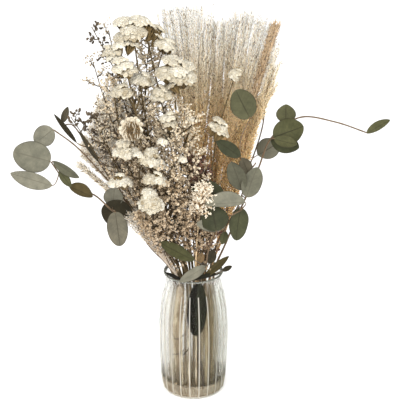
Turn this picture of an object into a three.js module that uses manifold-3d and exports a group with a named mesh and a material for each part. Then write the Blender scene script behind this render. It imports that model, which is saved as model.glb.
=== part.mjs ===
// A clear ribbed glass vase that holds a loose bunch of dried flowers: eucalyptus, silver grass plumes,
// white statice, sea lavender, rice flower and sprays of small dark buds.
// Millimetres, +Z up. The origin is the middle of the vase's foot, and -Y is the side that faces the viewer.

import * as THREE from "three";
import { mergeVertices } from "three/addons/utils/BufferGeometryUtils.js";
import Module from "manifold-3d";

const wasm = await Module();
wasm.setup();

// The vase
const vaseHeight = 205;
const flutes = 22;
const ridgeTurn = -6.4;
const stepsPerFlute = 2;
const fluteDepth = 1.5;
const glassWall = 3.6;
const floorHeight = 17;
const footRadius = 43;
const vaseOutline = [[49.3, 5], [51.6, 20], [54.2, 70], [54.7, 112], [50.6, 158], [44.8, 181]];
const insideLevels = [112, 158];
const neckRadius = 42.7;
const neckLevel = 193;
const rimRadius = 46.6;
const rimThickness = 4.4;

// The bunch: every stem has a place of its own in the neck, and they fan out above it
const neckHeight = 200;
const spreadAcross = 50;
const spreadDeep = 70;
const leanLeft = 0.12;
const footSpread = 1.1;
const lowSpread = 1.18;
const lowHeight = 105;
const seatGap = 0.3;
const clearance = 0.5;

// Leaves and stems
const leafThickness = 0.9;
const leafTipWidth = 0.6;
const stalkHalfWidth = 0.7;
const widestFlatLeaf = 14;
const stemStep = 64;
const branchStep = 48;

// Colours
const glassTint = 0xc9d3c8;
const leafGreen = 0x7d8a78;
const oliveBrown = 0x6b5c40;
const plumeCream = 0xd8c7a8;
const stemBrown = 0x7a6a48;
const paperWhite = 0xece6d8;
const floretCream = 0xd3c4a6;
const budBrown = 0x5a4a3a;
const riceWhite = 0xe6dfd0;
const coneBrown = 0x8a6a45;

const at = (x, y, z) => new THREE.Vector3(x, y, z);
const upward = at(0, 0, 1);
const towardViewer = [0, -1, 0.4];
const goldenAngle = Math.PI * (3 - Math.sqrt(5));

// A repeatable random draw between 0 and 1
function seeded(seed) {
  let state = seed >>> 0;
  return () => {
    state = (state + 0x6d2b79f5) >>> 0;
    let mixed = Math.imul(state ^ (state >>> 15), 1 | state);
    mixed = (mixed + Math.imul(mixed ^ (mixed >>> 7), 61 | mixed)) ^ mixed;
    return ((mixed ^ (mixed >>> 14)) >>> 0) / 4294967296;
  };
}

// Turns a closed three.js geometry into a solid that can be joined
function solidOf(geometry) {
  const bare = new THREE.BufferGeometry();
  bare.setAttribute("position", geometry.attributes.position);
  if (geometry.index) bare.setIndex(geometry.index);
  const merged = mergeVertices(bare, 1e-4);
  const place = merged.attributes.position.array;
  const corners = merged.index.array;
  const faces = [];
  let sixVolumes = 0;
  for (let i = 0; i < corners.length; i += 3) {
    const [a, b, c] = [corners[i], corners[i + 1], corners[i + 2]];
    if (a === b || b === c || c === a) continue;
    faces.push([a, b, c]);
    const [p, q, r] = [a, b, c].map((k) => at(place[3 * k], place[3 * k + 1], place[3 * k + 2]));
    sixVolumes += p.dot(q.cross(r));
  }
  const outward = sixVolumes > 0 ? faces : faces.map(([a, b, c]) => [a, c, b]);
  return new wasm.Manifold(new wasm.Mesh({
    numProp: 3,
    vertProperties: new Float32Array(place),
    triVerts: new Uint32Array(outward.flat()),
  }));
}

// Joins the pieces of one plant. A loose scrap or a sealed hollow is left out.
function joined(pieces) {
  const whole = wasm.Manifold.union(pieces.map(solidOf));
  const bodies = whole.decompose();
  return bodies.reduce((largest, body) => (body.volume() > largest.volume() ? body : largest));
}

// A named mesh with its geometry measured from its own foot point
function meshOf(name, solid, foot, colour, roughness = 0.85) {
  const { vertProperties, triVerts } = solid.getMesh();
  const geometry = new THREE.BufferGeometry();
  geometry.setAttribute("position", new THREE.BufferAttribute(new Float32Array(vertProperties), 3));
  geometry.setIndex(new THREE.BufferAttribute(new Uint32Array(triVerts), 1));
  geometry.translate(-foot.x, -foot.y, -foot.z);
  const material = new THREE.MeshStandardMaterial({ color: colour, roughness, metalness: 0, flatShading: true });
  const mesh = new THREE.Mesh(geometry, material);
  mesh.name = name;
  mesh.position.copy(foot);
  return mesh;
}

// Balls that stand for what is already in the bunch, so that small pieces can be kept clear of it
const taken = [];

function take(owner, point, radius) {
  taken.push({ owner, point, radius });
}

function isFree(owner, point, radius) {
  for (const ball of taken) {
    if (ball.owner === owner) continue;
    const reach = ball.radius + radius + clearance;
    if (ball.point.distanceToSquared(point) < reach * reach) return false;
  }
  return true;
}

function isLineFree(owner, start, end, radius) {
  const steps = Math.ceil(start.distanceTo(end) / 3);
  for (let i = 0; i <= steps; i++) {
    if (!isFree(owner, start.clone().lerp(end, i / steps), radius)) return false;
  }
  return true;
}

// The place at height z of a stem whose own place in the neck is (wide, deep)
function inBunch(wide, deep, z) {
  const rise = z - neckHeight;
  return at(wide * (1 + rise / spreadAcross) - leanLeft * rise, deep * (1 + rise / spreadDeep), z);
}

// The place in the neck that a point of the bunch fans out from
function neckPlaceOf([x, y, z]) {
  const rise = z - neckHeight;
  return [(x + leanLeft * rise) / (1 + rise / spreadAcross), y / (1 + rise / spreadDeep)];
}

// The line of a stem from the vase's floor through the neck to its tip, or through the points that it is given
function stemCurve({ slot, tip, via, inVase }) {
  const foot = at(slot[0] * footSpread, slot[1] * footSpread, floorHeight + seatGap);
  const low = at(slot[0] * lowSpread, slot[1] * lowSpread, lowHeight);
  const points = inVase ? inVase.map((point) => at(...point)) : [foot, low];
  points.push(at(slot[0], slot[1], neckHeight));
  if (via) {
    points.push(...via.map((point) => at(...point)));
  } else {
    const end = neckPlaceOf(tip);
    for (const part of [0.25, 0.5, 0.75, 1]) {
      const wide = slot[0] + (end[0] - slot[0]) * part;
      const deep = slot[1] + (end[1] - slot[1]) * part;
      points.push(inBunch(wide, deep, neckHeight + (tip[2] - neckHeight) * part));
    }
  }
  return new THREE.CatmullRomCurve3(points, false, "centripetal");
}

const stepsOf = (curve, step) => Math.max(2, Math.round(curve.getLength() / step));

// A round stem along a curve, thinner towards its end
function stalk(curve, thick, thin, sides, step = stemStep) {
  const steps = stepsOf(curve, step);
  const ring = new THREE.Shape();
  for (let i = 0; i < sides; i++) {
    const angle = (i / sides) * 2 * Math.PI;
    if (i === 0) ring.moveTo(thick, 0);
    else ring.lineTo(thick * Math.cos(angle), thick * Math.sin(angle));
  }
  ring.closePath();
  const geometry = new THREE.ExtrudeGeometry(ring, { steps, extrudePath: curve, bevelEnabled: false });
  const centres = curve.getSpacedPoints(steps);
  const position = geometry.attributes.position;
  const vertex = new THREE.Vector3();
  for (let i = 0; i < position.count; i++) {
    vertex.fromBufferAttribute(position, i);
    let nearest = 0;
    centres.forEach((centre, k) => {
      if (centre.distanceToSquared(vertex) < centres[nearest].distanceToSquared(vertex)) nearest = k;
    });
    const scale = 1 - (1 - thin / thick) * (nearest / steps);
    vertex.sub(centres[nearest]).multiplyScalar(scale).add(centres[nearest]);
    position.setXYZ(i, vertex.x, vertex.y, vertex.z);
  }
  return geometry;
}

// The point on the middle lines of stalks that lies nearest to a given point
function nearestOn(lines, wanted) {
  let best = null;
  const spot = new THREE.Vector3();
  for (const { curve, step } of lines) {
    const centres = curve.getSpacedPoints(stepsOf(curve, step));
    for (let i = 1; i < centres.length; i++) {
      new THREE.Line3(centres[i - 1], centres[i]).closestPointToPoint(wanted, true, spot);
      if (!best || spot.distanceTo(wanted) < best.distanceTo(wanted)) best = spot.clone();
    }
  }
  return best;
}

// Two directions across a row of points at each of them, turning with the row
function framesAlong(points, side) {
  const last = points.length - 1;
  let sideways = side.clone();
  return points.map((_, row) => {
    const heading = points[Math.min(row + 1, last)].clone().sub(points[Math.max(row - 1, 0)]).normalize();
    sideways = sideways.clone().addScaledVector(heading, -sideways.dot(heading)).normalize();
    return [sideways, new THREE.Vector3().crossVectors(heading, sideways)];
  });
}

// A closed solid along a row of points, with a half width and a half depth at each point
function swept(points, halfWidths, halfDepths, side, sides = 3) {
  const last = points.length - 1;
  const geometry = new THREE.CylinderGeometry(1, 1, 1, sides, last);
  const frames = framesAlong(points, side);
  const position = geometry.attributes.position;
  for (let i = 0; i < position.count; i++) {
    const row = Math.round((position.getY(i) + 0.5) * last);
    const vertex = points[row].clone();
    vertex.addScaledVector(frames[row][0], position.getX(i) * halfWidths[row]);
    vertex.addScaledVector(frames[row][1], position.getZ(i) * halfDepths[row]);
    position.setXYZ(i, vertex.x, vertex.y, vertex.z);
  }
  return geometry;
}

// A thin three-sided stem: straight up to the neck, then through a few points of its curve
function wiryStem(curve, thick, thin, rows = 6) {
  const neckPart = curve.getPoints(60).findIndex((point) => point.z >= neckHeight) / 60;
  const points = neckPart > 0 ? [curve.getPoint(0)] : [];
  for (let k = 0; k <= rows; k++) points.push(curve.getPoint(neckPart + ((1 - neckPart) * k) / rows));
  const radii = points.map((_, k) => thick + ((thin - thick) * k) / (points.length - 1));
  const side = at(1, 0.2, 0);
  return { points, frames: framesAlong(points, side), geometry: swept(points, radii, radii, side) };
}

// The roots of a stem's side twigs, each in the middle of one of its three faces
function rootsOn(stem, count, lowest) {
  const roots = [];
  const segments = stem.points.length - 1;
  for (let i = 0; i < count; i++) {
    const place = segments * (lowest + ((0.99 - lowest) * (i + 0.5)) / count);
    const row = Math.min(segments - 1, Math.floor(place));
    const part = Math.min(0.85, Math.max(0.15, place - row));
    const start = stem.points[row].clone().lerp(stem.points[row + 1], part);
    const heading = stem.points[row + 1].clone().sub(stem.points[row]).normalize();
    const sides = [1, 5, 3].map((third) => {
      const turn = (third * Math.PI) / 3;
      const [wide, deep] = stem.frames[row];
      return wide.clone().multiplyScalar(Math.sin(turn)).addScaledVector(deep, Math.cos(turn));
    });
    roots.push({ start, heading, sides, outward: sides[i % 3], place: place / segments });
  }
  return roots;
}

// Two directions across a line
function sidesOf(direction) {
  const side = new THREE.Vector3().crossVectors(direction, at(0.31, 0.87, 0.22)).normalize();
  return [side, new THREE.Vector3().crossVectors(direction, side).normalize()];
}

// A straight twig between two points
function twig(start, end, thick, thin, sides = 3) {
  const [side] = sidesOf(end.clone().sub(start));
  return swept([start, end], [thick, thin], [thick, thin], side, sides);
}

// A twig whose outer part swells into a cluster of florets or buds
function tippedTwig(start, end, twigRadius, tipRadius, random) {
  const direction = end.clone().sub(start);
  const [side, normal] = sidesOf(direction);
  const swelling = Math.max(0.25, 1 - (4.6 * tipRadius) / direction.length());
  const turn = 2 * Math.PI * random();
  const shift = 0.5 * tipRadius;
  const widest = start.clone().lerp(end, swelling + 0.55 * (1 - swelling))
    .addScaledVector(side, shift * Math.cos(turn)).addScaledVector(normal, shift * Math.sin(turn));
  const radii = [twigRadius, 0.8 * twigRadius, tipRadius, 0];
  return swept([start, start.clone().lerp(end, swelling), widest, end], radii, radii, side);
}

// A thin closed sheet over a grid, with the same triangles on both faces.
// placeAt gives a grid point's middle and normalAt the way its thickness runs.
function sheet(along, wide, placeAt, normalAt, thickness) {
  const grid = new THREE.PlaneGeometry(1, 1, along, wide);
  const count = grid.attributes.position.count;
  const front = [];
  const back = [];
  for (let i = 0; i < count; i++) {
    const step = Math.round((grid.attributes.position.getX(i) + 0.5) * along);
    const centre = placeAt(step, -2 * grid.attributes.position.getY(i));
    const half = normalAt(step).clone().multiplyScalar(thickness / 2);
    front.push(...centre.clone().add(half).toArray());
    back.push(...centre.clone().sub(half).toArray());
  }
  const faces = [];
  const corners = grid.index.array;
  for (let i = 0; i < corners.length; i += 3) {
    const [a, b, c] = [corners[i], corners[i + 1], corners[i + 2]];
    faces.push(a, b, c, count + a, count + c, count + b);
  }
  const edge = [];
  const row = along + 1;
  for (let i = 0; i < along; i++) edge.push(wide * row + i);
  for (let j = wide; j > 0; j--) edge.push(j * row + along);
  for (let i = along; i > 0; i--) edge.push(i);
  for (let j = 0; j < wide; j++) edge.push(j * row);
  edge.forEach((p, k) => {
    const q = edge[(k + 1) % edge.length];
    faces.push(q, p, count + p, q, count + p, count + q);
  });
  const geometry = new THREE.BufferGeometry();
  geometry.setAttribute("position", new THREE.Float32BufferAttribute([...front, ...back], 3));
  geometry.setIndex(faces);
  return geometry;
}

// The two directions that a blade has besides its length
function bladeFrame(length, face) {
  const side = new THREE.Vector3().crossVectors(at(...face), length).normalize();
  const normal = new THREE.Vector3().crossVectors(length, side).normalize();
  return { side, normal };
}

// A leaf from its base to its tip. halves narrows one side of a folded leaf, hollow lifts the edges
// and bow bends the leaf along its length. Low ends make a full oval, and a low belly moves the widest
// place towards the base.
function leafPlacer(leaf) {
  const { base, tip, width, halves = [1, 1], hollow = 0.08, bow = 0.05, face = towardViewer } = leaf;
  const { ends = 0.72, belly = 0.92 } = leaf;
  const start = at(...base);
  const length = at(...tip).sub(start);
  const { side, normal } = bladeFrame(length, face);
  const reach = length.length();
  const placeAt = (u, sideways) => {
    const round = Math.pow(Math.sin(Math.PI * Math.pow(u, belly)), ends);
    const halfWidth = Math.max((width / 2) * round * halves[sideways < 0 ? 0 : 1], leafTipWidth / 2);
    const lift = hollow * width * sideways * sideways * round - bow * reach * 4 * u * (1 - u);
    return start.clone().addScaledVector(length, u).addScaledVector(side, sideways * halfWidth)
      .addScaledVector(normal, lift);
  };
  return { normal, side, placeAt };
}

// The leaf's stalk and its blade in one sheet: the first step of the grid is the stalk, and the sheet
// is mitred where the stalk meets the blade
function leafBlade(leaf, root) {
  const { normal, side, placeAt } = leafPlacer(leaf);
  const blade = 4;
  const isWide = leaf.width > widestFlatLeaf;
  const stalkWay = placeAt(0, 0).sub(root).normalize();
  const stalkSide = side.clone().addScaledVector(stalkWay, -side.dot(stalkWay)).normalize();
  const stalkNormal = new THREE.Vector3().crossVectors(stalkWay, stalkSide);
  const bendNormal = stalkNormal.clone().add(normal).normalize();
  const withStalk = (step, sideways) => {
    if (step === 0) return root.clone().addScaledVector(stalkSide, sideways * stalkHalfWidth);
    return placeAt((1 - Math.cos((Math.PI * (step - 1)) / blade)) / 2, sideways);
  };
  const normalAt = (step) => [stalkNormal, bendNormal][step] ?? normal;
  return sheet(blade + 1, isWide ? 2 : 1, withStalk, normalAt, leafThickness);
}

function takeLeaf(owner, leaf) {
  const { placeAt } = leafPlacer(leaf);
  for (let u = 0; u <= 1.001; u += 0.1) {
    for (let v = -1; v <= 1.001; v += 0.25) take(owner, placeAt(u, v), leafThickness);
  }
}

function takeCurve(owner, curve, radius, from = 0) {
  const steps = Math.ceil(curve.getLength() / 4);
  curve.getSpacedPoints(steps).forEach((point, i) => {
    if (i / steps >= from) take(owner, point, radius);
  });
}

// The vase: the outside is turned and fluted, the inside is smooth, and the foot is thick. One ridge
// stands ridgeTurn degrees beside the front.
function vaseGeometry() {
  const inset = (radius) => radius - glassWall;
  const outside = [[footRadius, 0], ...vaseOutline, [neckRadius, neckLevel], [rimRadius, vaseHeight - 1]];
  const inside = [[rimRadius - 1, vaseHeight], [rimRadius - rimThickness, vaseHeight - 1]];
  inside.push([inset(neckRadius), neckLevel]);
  for (const [radius, level] of [...vaseOutline].reverse()) {
    if (insideLevels.includes(level)) inside.push([inset(radius), level]);
  }
  inside.push([inset(51), floorHeight + 6], [inset(48), floorHeight]);
  const profile = [[0, 0], ...outside, ...inside, [0, floorHeight]];
  const points = profile.map(([radius, level]) => new THREE.Vector2(radius, level));
  const segments = flutes * stepsPerFlute;
  const firstFlute = ((ridgeTurn - 180 / flutes) * Math.PI) / 180;
  const geometry = new THREE.LatheGeometry(points, segments, firstFlute, 2 * Math.PI);
  const position = geometry.attributes.position;
  for (let i = 0; i < position.count; i++) {
    const row = i % points.length;
    const level = profile[row][1];
    const isFluted = row > 0 && row <= outside.length - 1;
    if (!isFluted) continue;
    const step = Math.floor(i / points.length) % stepsPerFlute;
    const fade = Math.min(1, (vaseHeight - level) / 12, 0.6 + level / 12);
    const depth = step === 0 ? fluteDepth * fade : 0;
    const scale = 1 - depth / Math.hypot(position.getX(i), position.getZ(i));
    position.setX(i, position.getX(i) * scale);
    position.setZ(i, position.getZ(i) * scale);
  }
  geometry.rotateX(Math.PI / 2);
  return geometry;
}

// Eucalyptus. Each leaf names its base and tip, and the point on the stem or twig where its stalk starts.
const eucalyptus = [
  {
    name: "eucalyptus_upper_left", slot: [-32, -6],
    via: [[-66, -20, 255], [-98, -25, 325], [-139, -20, 376], [-175, -12, 414], [-207, -10, 439]],
    leaves: [
      { from: [-205, -10, 438], base: [-208, -10, 440], tip: [-235, -18, 421], width: 32, ends: 0.5 },
    ],
  },
  {
    name: "eucalyptus_lower_left", slot: [-28, -18],
    via: [[-67, -45, 267], [-88, -60, 311], [-118, -65, 331], [-146, -60, 355], [-183, -55, 367],
      [-195, -50, 381], [-209, -45, 401]],
    leaves: [
      { from: [-208, -45, 400], base: [-210, -45, 402], tip: [-262, -58, 422], width: 46, ends: 0.46 },
      { from: [-197, -50, 386], base: [-207, -64, 371], tip: [-265, -78, 396], width: 27, halves: [0.8, 1] },
      { from: [-207, -46, 400], base: [-205, -52, 405], tip: [-165, -78, 389], width: 17, halves: [1, 0.6] },
      { from: [-194, -50, 380], base: [-196, -60, 393], tip: [-177, -82, 376], width: 13 },
      { from: [-183, -55, 367], base: [-182, -61, 369], tip: [-146, -84, 361], width: 25, halves: [0.5, 1] },
      { from: [-118, -64, 332], base: [-120, -43, 331], tip: [-117, -43, 360], width: 30, ends: 0.5 },
      { from: [-88, -60, 311], base: [-92, -50, 312], tip: [-136, -50, 330], width: 42, ends: 0.5 },
      { from: [-118, -65, 331], base: [-114, -80, 336], tip: [-107, -100, 290], width: 31, ends: 0.46 },
    ],
  },
  {
    name: "eucalyptus_inner_right", slot: [25, -17],
    via: [[35, -32, 259], [51, -44, 300], [68, -50, 335], [74, -52, 358], [81, -52, 385], [93, -45, 400]],
    twigs: [
      [[81, -52, 385], [70, -50, 409], [71, -44, 440], [83, -40, 466]],
    ],
    leaves: [
      { from: [83, -40, 465], base: [83, -40, 468], tip: [62, -46, 512], width: 39, face: [0.1, -1, 0.3],
        ends: 0.5 },
      { from: [70, -50, 409], base: [70, -52, 412], tip: [34, -58, 439], width: 21 },
      { from: [74, -52, 358], base: [72, -59, 362], tip: [56, -68, 410], width: 24, face: [-0.3, -1, 0.2] },
      { from: [81, -52, 385], base: [82, -56, 386], tip: [72, -56, 412], width: 20 },
      { from: [72, -51, 350], base: [79, -62, 352], tip: [95, -56, 397], width: 27, face: [0.25, -1, 0.1] },
    ],
  },
  {
    name: "eucalyptus_front_right", slot: [18, -29],
    via: [[20, -44, 233], [22, -62, 262], [28, -80, 290], [49, -85, 327], [71, -80, 339]],
    leaves: [
      { from: [69, -80, 338], base: [76, -92, 356], tip: [18, -112, 361], width: 36, halves: [1, 0.3] },
      { from: [30, -80, 293], base: [34, -110, 318], tip: [28, -94, 352], width: 43, hollow: -0.22 },
      { from: [68, -81, 338], base: [71, -72, 339], tip: [64, -84, 292], width: 31, face: [0.4, -1, 0.1] },
      { from: [49, -85, 327], base: [46, -78, 362], tip: [-3, -86, 374], width: 34, halves: [1, 0.7] },
      { from: [40, -83, 310], base: [49, -68, 300], tip: [43, -76, 282], width: 12 },
      { from: [19, -42, 229], base: [24, -42, 235], tip: [31, -46, 260], width: 16 },
      { from: [38, -82, 308], base: [47, -96, 320], tip: [5, -98, 325], width: 21 },
    ],
  },
  {
    name: "eucalyptus_at_rim", slot: [11, -34.5], thick: 2.6,
    inVase: [[15, -39, floorHeight + seatGap], [14, -39, 45], [9, -40, 80], [8, -38, 130]],
    via: [[12, -40, 222], [15, -46, 240]],
    twigs: [
      [[11, -36, 205], [28, -43, 216], [44, -47, 225]],
    ],
    leaves: [
      { from: [15, -45, 238], base: [21, -52, 236], tip: [-21, -63, 214], width: 17, face: [-0.2, -1, 0.5] },
      { from: [16, -38, 209], base: [18, -43, 214], tip: [54, -56, 254], width: 12, hollow: 0.25 },
      { from: [43, -47, 224.5], base: [44, -47, 225], tip: [59, -51, 235], width: 8 },
      { from: [12, -40, 221], base: [7, -46, 236], tip: [15, -52, 258], width: 11 },
      { from: [14, -44, 234], base: [2, -64, 251], tip: [-50, -84, 290], width: 22, face: [0.2, -1, 0.9] },
      { from: [11, -34.5, 204], base: [8, -36.4, 201], tip: [4, -44, 112], width: 27, halves: [0.9, 1],
        hollow: -0.16, bow: 0, belly: 1.2, ends: 0.45 },
      { from: [11, -36, 205], base: [-13, -48, 209.5], tip: [43, -45, 221], width: 7, bow: 0 },
      { from: [11, -36, 205], base: [-17, -48, 210], tip: [-43, -39, 219], width: 6, bow: 0 },
    ],
  },
  {
    name: "eucalyptus_far_right", slot: [32, -4],
    via: [[50, -2, 251], [78, 2, 320], [98, 4, 370], [118, 0, 424], [159, -2, 456], [211, -5, 450],
      [259, -8, 434]],
    leaves: [
      { from: [130, -1, 438], base: [139, 6, 444], tip: [139, 12, 472], width: 30 },
      { from: [118, 0, 424], base: [120, -5, 426], tip: [164, -14, 446], width: 40, face: [0, -1, 0.5] },
      { from: [117, 0, 421], base: [121, -12, 426], tip: [154, -26, 422], width: 20, face: [0, -1, 0.9] },
      { from: [116, 0, 420], base: [117, 8, 419], tip: [160, 4, 406], width: 31 },
      { from: [257, -8, 434], base: [259, -8, 433], tip: [292, -14, 456], width: 17, halves: [0.6, 1] },
    ],
  },
  {
    name: "eucalyptus_back_left", slot: [-23, 25],
    via: [[-50, 46, 250], [-80, 78, 306], [-100, 102, 350], [-109, 116, 384], [-112, 122, 410]],
    leafRule: { count: 4, from: 0.46, size: 42, seed: 11 },
  },
  {
    name: "eucalyptus_back_right", slot: [27, 20],
    via: [[42, 36, 250], [70, 66, 310], [96, 96, 362], [110, 116, 404], [114, 128, 440]],
    leafRule: { count: 4, from: 0.46, size: 44, seed: 12 },
  },
  {
    name: "eucalyptus_back_middle", slot: [-6, 32],
    via: [[-12, 52, 248], [-20, 88, 300], [-24, 118, 348], [-22, 138, 392]],
    leafRule: { count: 4, from: 0.5, size: 44, seed: 13 },
  },
];

// Pairs of round leaves up a branch, for the branches on the far side
function leavesByRule(curve, { count, from, size, seed }) {
  const random = seeded(seed);
  const leaves = [];
  for (let i = 0; i < count; i++) {
    const along = from + ((1 - from) * (i + 0.5)) / count;
    const start = curve.getPointAt(Math.min(along, 0.995));
    const outward = at(start.x, start.y, 0).normalize();
    const turn = i * goldenAngle + random() * 0.5;
    const sideways = outward.clone().applyAxisAngle(upward, Math.PI / 2);
    const direction = outward.clone().multiplyScalar(0.6 + 0.3 * Math.cos(turn))
      .addScaledVector(sideways, Math.sin(turn)).addScaledVector(upward, 0.5 + 0.5 * random()).normalize();
    const length = size * (0.8 + 0.3 * random());
    const base = start.clone().addScaledVector(direction, 10);
    const tip = base.clone().addScaledVector(direction, length);
    const face = outward.clone().addScaledVector(upward, 0.4).toArray();
    leaves.push({ from: start.toArray(), base: base.toArray(), tip: tip.toArray(), width: length * 0.82, face });
  }
  return leaves;
}

function eucalyptusPieces(plant, curve) {
  const pieces = [stalk(curve, plant.thick ?? 1.9, 1.1, 3, branchStep)];
  const lines = [{ curve, step: branchStep }];
  for (const points of plant.twigs ?? []) {
    const places = points.map((point) => at(...point));
    places[0] = nearestOn(lines, places[0]);
    const line = new THREE.CatmullRomCurve3(places, false, "centripetal");
    lines.push({ curve: line, step: branchStep / 2 });
    pieces.push(stalk(line, 1.1, 0.8, 3, branchStep / 2));
  }
  for (const leaf of plant.leaves) pieces.push(leafBlade(leaf, nearestOn(lines, at(...leaf.from))));
  return pieces;
}

// The long dark stem at the left, with narrow leaves and a curled bud leaf
const narrowLeaf = {
  name: "narrow_leaf_stem", slot: [-32, 5],
  via: [[-82, 14, 277], [-127, 18, 350], [-157, 20, 397], [-184, 22, 437], [-194, 21, 436]],
  leaves: [
    { from: [-160, 20, 402], base: [-176, 12, 411], tip: [-208, 8, 458], width: 8 },
    { from: [-193, 21, 436], base: [-197, 21, 440], tip: [-188, 22, 465], width: 11, hollow: 0.3 },
    { from: [-116, 17, 331], base: [-143, 4, 383], tip: [-171, 4, 432], width: 8 },
  ],
};

// Silver grass. The rays fan out from the upper stem to a line of tips between the two corners, which
// bulge bends at its middle.
const plumes = [
  { name: "plume_left_of_fan", slot: [8, 4], tips: [[-46, 26, 612], [18, 46, 614]], rays: 10, seed: 21 },
  { name: "plume_mid_left", slot: [5, 17], tips: [[-14, 66, 606], [54, 74, 578]], rays: 10, seed: 22 },
  { name: "plume_middle", slot: [16, 17], tips: [[28, 68, 580], [94, 58, 604]], rays: 9, seed: 23 },
  { name: "plume_right", slot: [18, 5], tips: [[66, 36, 606], [129, 26, 594]], rays: 10, seed: 24 },
  { name: "plume_low_right", slot: [27, 6], tips: [[120, 14, 580], [70, 8, 436]], bulge: [21, 0, -7],
    rays: 9, seed: 25 },
  { name: "plume_back_left", slot: [-28, 15], tips: [[-174, 48, 357], [-108, 72, 498]], bulge: [-11, 0, 11],
    rays: 9, seed: 26 },
  { name: "plume_low_left", slot: [-22, -27], tips: [[-96, -76, 328], [-66, -84, 338]], rays: 5, seed: 27 },
];

const plumeStemShare = 0.8;
const lowestRay = 0.5;

// The stem ends below the middle of the line of tips
function plumeTip(plume) {
  const [left, right] = plume.tips;
  const middle = left.map((value, axis) => (value + right[axis]) / 2);
  const root = [...plume.slot, neckHeight];
  return middle.map((value, axis) => root[axis] + plumeStemShare * (value - root[axis]));
}

function plumePieces(plume, curve) {
  const random = seeded(plume.seed);
  const stem = wiryStem(curve, 2, 1.5);
  const pieces = [stem.geometry];
  const [left, right] = plume.tips.map((tip) => at(...tip));
  const roots = rootsOn(stem, plume.rays, lowestRay);
  // The lowest roots carry the outermost rays, by turns at the left and at the right
  roots.forEach((root, i) => {
    const outer = 1 - i / plume.rays;
    const part = 0.5 + 0.5 * outer * (i % 2 ? 1 : -1);
    const tip = left.clone().lerp(right, part);
    if (plume.bulge) tip.addScaledVector(at(...plume.bulge), 4 * part * (1 - part));
    tip.add(at(2 * random() - 1, 6 * ((i % 5) - 2), -22 * random() * random()));
    const reach = root.start.distanceTo(tip);
    const toTip = tip.clone().sub(root.start);
    const outward = root.sides.reduce((best, side) => (side.dot(toTip) > best.dot(toTip) ? side : best));
    const first = root.start.clone().addScaledVector(outward, 2.6).addScaledVector(root.heading, 2.6);
    const bend = first.clone().lerp(tip, 0.4).addScaledVector(root.heading, 0.1 * reach);
    const line = new THREE.QuadraticBezierCurve3(first, bend, tip);
    const { side } = bladeFrame(tip.clone().sub(first), [0.6 * random() - 0.3, -1, 0.3]);
    const halfWidth = 2.6 + 0.8 * random();
    const points = [root.start, ...[0, 0.6, 1].map((u) => line.getPoint(u))];
    const halfWidths = [0.45, 0.3 * halfWidth, halfWidth, 0.7 * halfWidth];
    const halfDepths = [0.45, 0.6, 0.7, 0.45];
    let clear = true;
    for (let u = 0.1; u <= 1; u += 0.05) clear = clear && isFree(plume.name, line.getPoint(u), 2.5);
    if (!clear) return;
    pieces.push(swept(points, halfWidths, halfDepths, side));
    for (let u = 0.05; u <= 1; u += 0.05) take(plume.name, line.getPoint(u), 2);
  });
  return pieces;
}

// White statice. Each stem forks to its heads. A head is a node of its own, just above its fork. The
// small side tufts are part of the stem.
const statice = [
  { name: "statice_top_left", slot: [-11, 5], heads: [
    { name: "head_top_left", centre: [-90, -8, 586], axis: [-0.3, -0.5, 1], radius: 25, seed: 31 },
    { name: "head_left_edge", centre: [-116, -18, 560], axis: [-0.9, -0.5, 0.6], radius: 15, seed: 32 },
  ] },
  { name: "statice_top_middle", slot: [-1, 5], heads: [
    { name: "head_top_middle", centre: [-60, 6, 584], axis: [0.5, 0.3, 1], radius: 18, seed: 33 },
    { name: "head_beside_plume", centre: [-41, 0, 566], axis: [0.3, -0.5, 1], radius: 13, seed: 34 },
  ] },
  { name: "statice_middle", slot: [0, -7], heads: [
    { name: "head_big_middle", centre: [-24, -40, 536], axis: [0.2, -0.6, 1], radius: 27, seed: 35 },
    { name: "head_under_big", centre: [-46, -44, 506], axis: [-0.4, -0.9, 0.6], radius: 14, seed: 36 },
    { name: "head_low_middle", centre: [-34, -70, 477], axis: [0, -0.8, 0.8], radius: 11, seed: 50 },
  ], tufts: [[-4, -62, 472]] },
  { name: "statice_column", slot: [-11, -7], heads: [
    { name: "head_column_top", centre: [-98, -44, 546], axis: [-0.3, -0.8, 1], radius: 16, seed: 37 },
    { name: "head_column_low", centre: [-101, -52, 512], axis: [-0.5, -1, 0.7], radius: 14, seed: 38 },
    { name: "head_middle_column", centre: [-72, -30, 524], axis: [0, -0.8, 0.8], radius: 13, seed: 49 },
  ] },
  { name: "statice_left", slot: [-17, -18], heads: [
    { name: "head_left_middle", centre: [-97, -80, 432], axis: [-0.3, -1, 0.6], radius: 15, seed: 39 },
    { name: "head_left_low", centre: [-108, -86, 388], axis: [-0.4, -1, 0.4], radius: 14, seed: 40 },
  ], tufts: [[-78, -92, 429]] },
  { name: "everlasting", slot: [-6, -19], heads: [
    { name: "everlasting_head", centre: [-84, -88, 466], axis: [-0.2, -1, 0.35], radius: 17, seed: 41 },
    { name: "head_centre", centre: [-58, -92, 420], axis: [0.1, -1, 0.5], radius: 15, seed: 42 },
  ], tufts: [[-44, -84, 446], [-15, -88, 420]] },
  { name: "statice_front", slot: [-6, -31], heads: [
    { name: "head_front", centre: [-60, -116, 366], axis: [0, -1, 0.6], radius: 20, seed: 43 },
    { name: "head_front_green", centre: [-54, -104, 396], axis: [0.2, -0.9, 1], radius: 12, seed: 44 },
  ] },
  { name: "statice_right", slot: [10, -8], heads: [
    { name: "head_right", centre: [38, -54, 456], axis: [0.2, -1, 0.5], radius: 16, seed: 45 },
    { name: "tuft_on_plume", centre: [62, -8, 524], axis: [0.2, -0.8, 1], radius: 8, seed: 46 },
  ] },
  { name: "statice_back", slot: [7, 31], heads: [
    { name: "head_back_left", centre: [-26, 120, 470], axis: [-0.2, 1, 0.7], radius: 20, seed: 47 },
    { name: "head_back_right", centre: [38, 130, 430], axis: [0.2, 1, 0.6], radius: 18, seed: 48 },
  ] },
];

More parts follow.
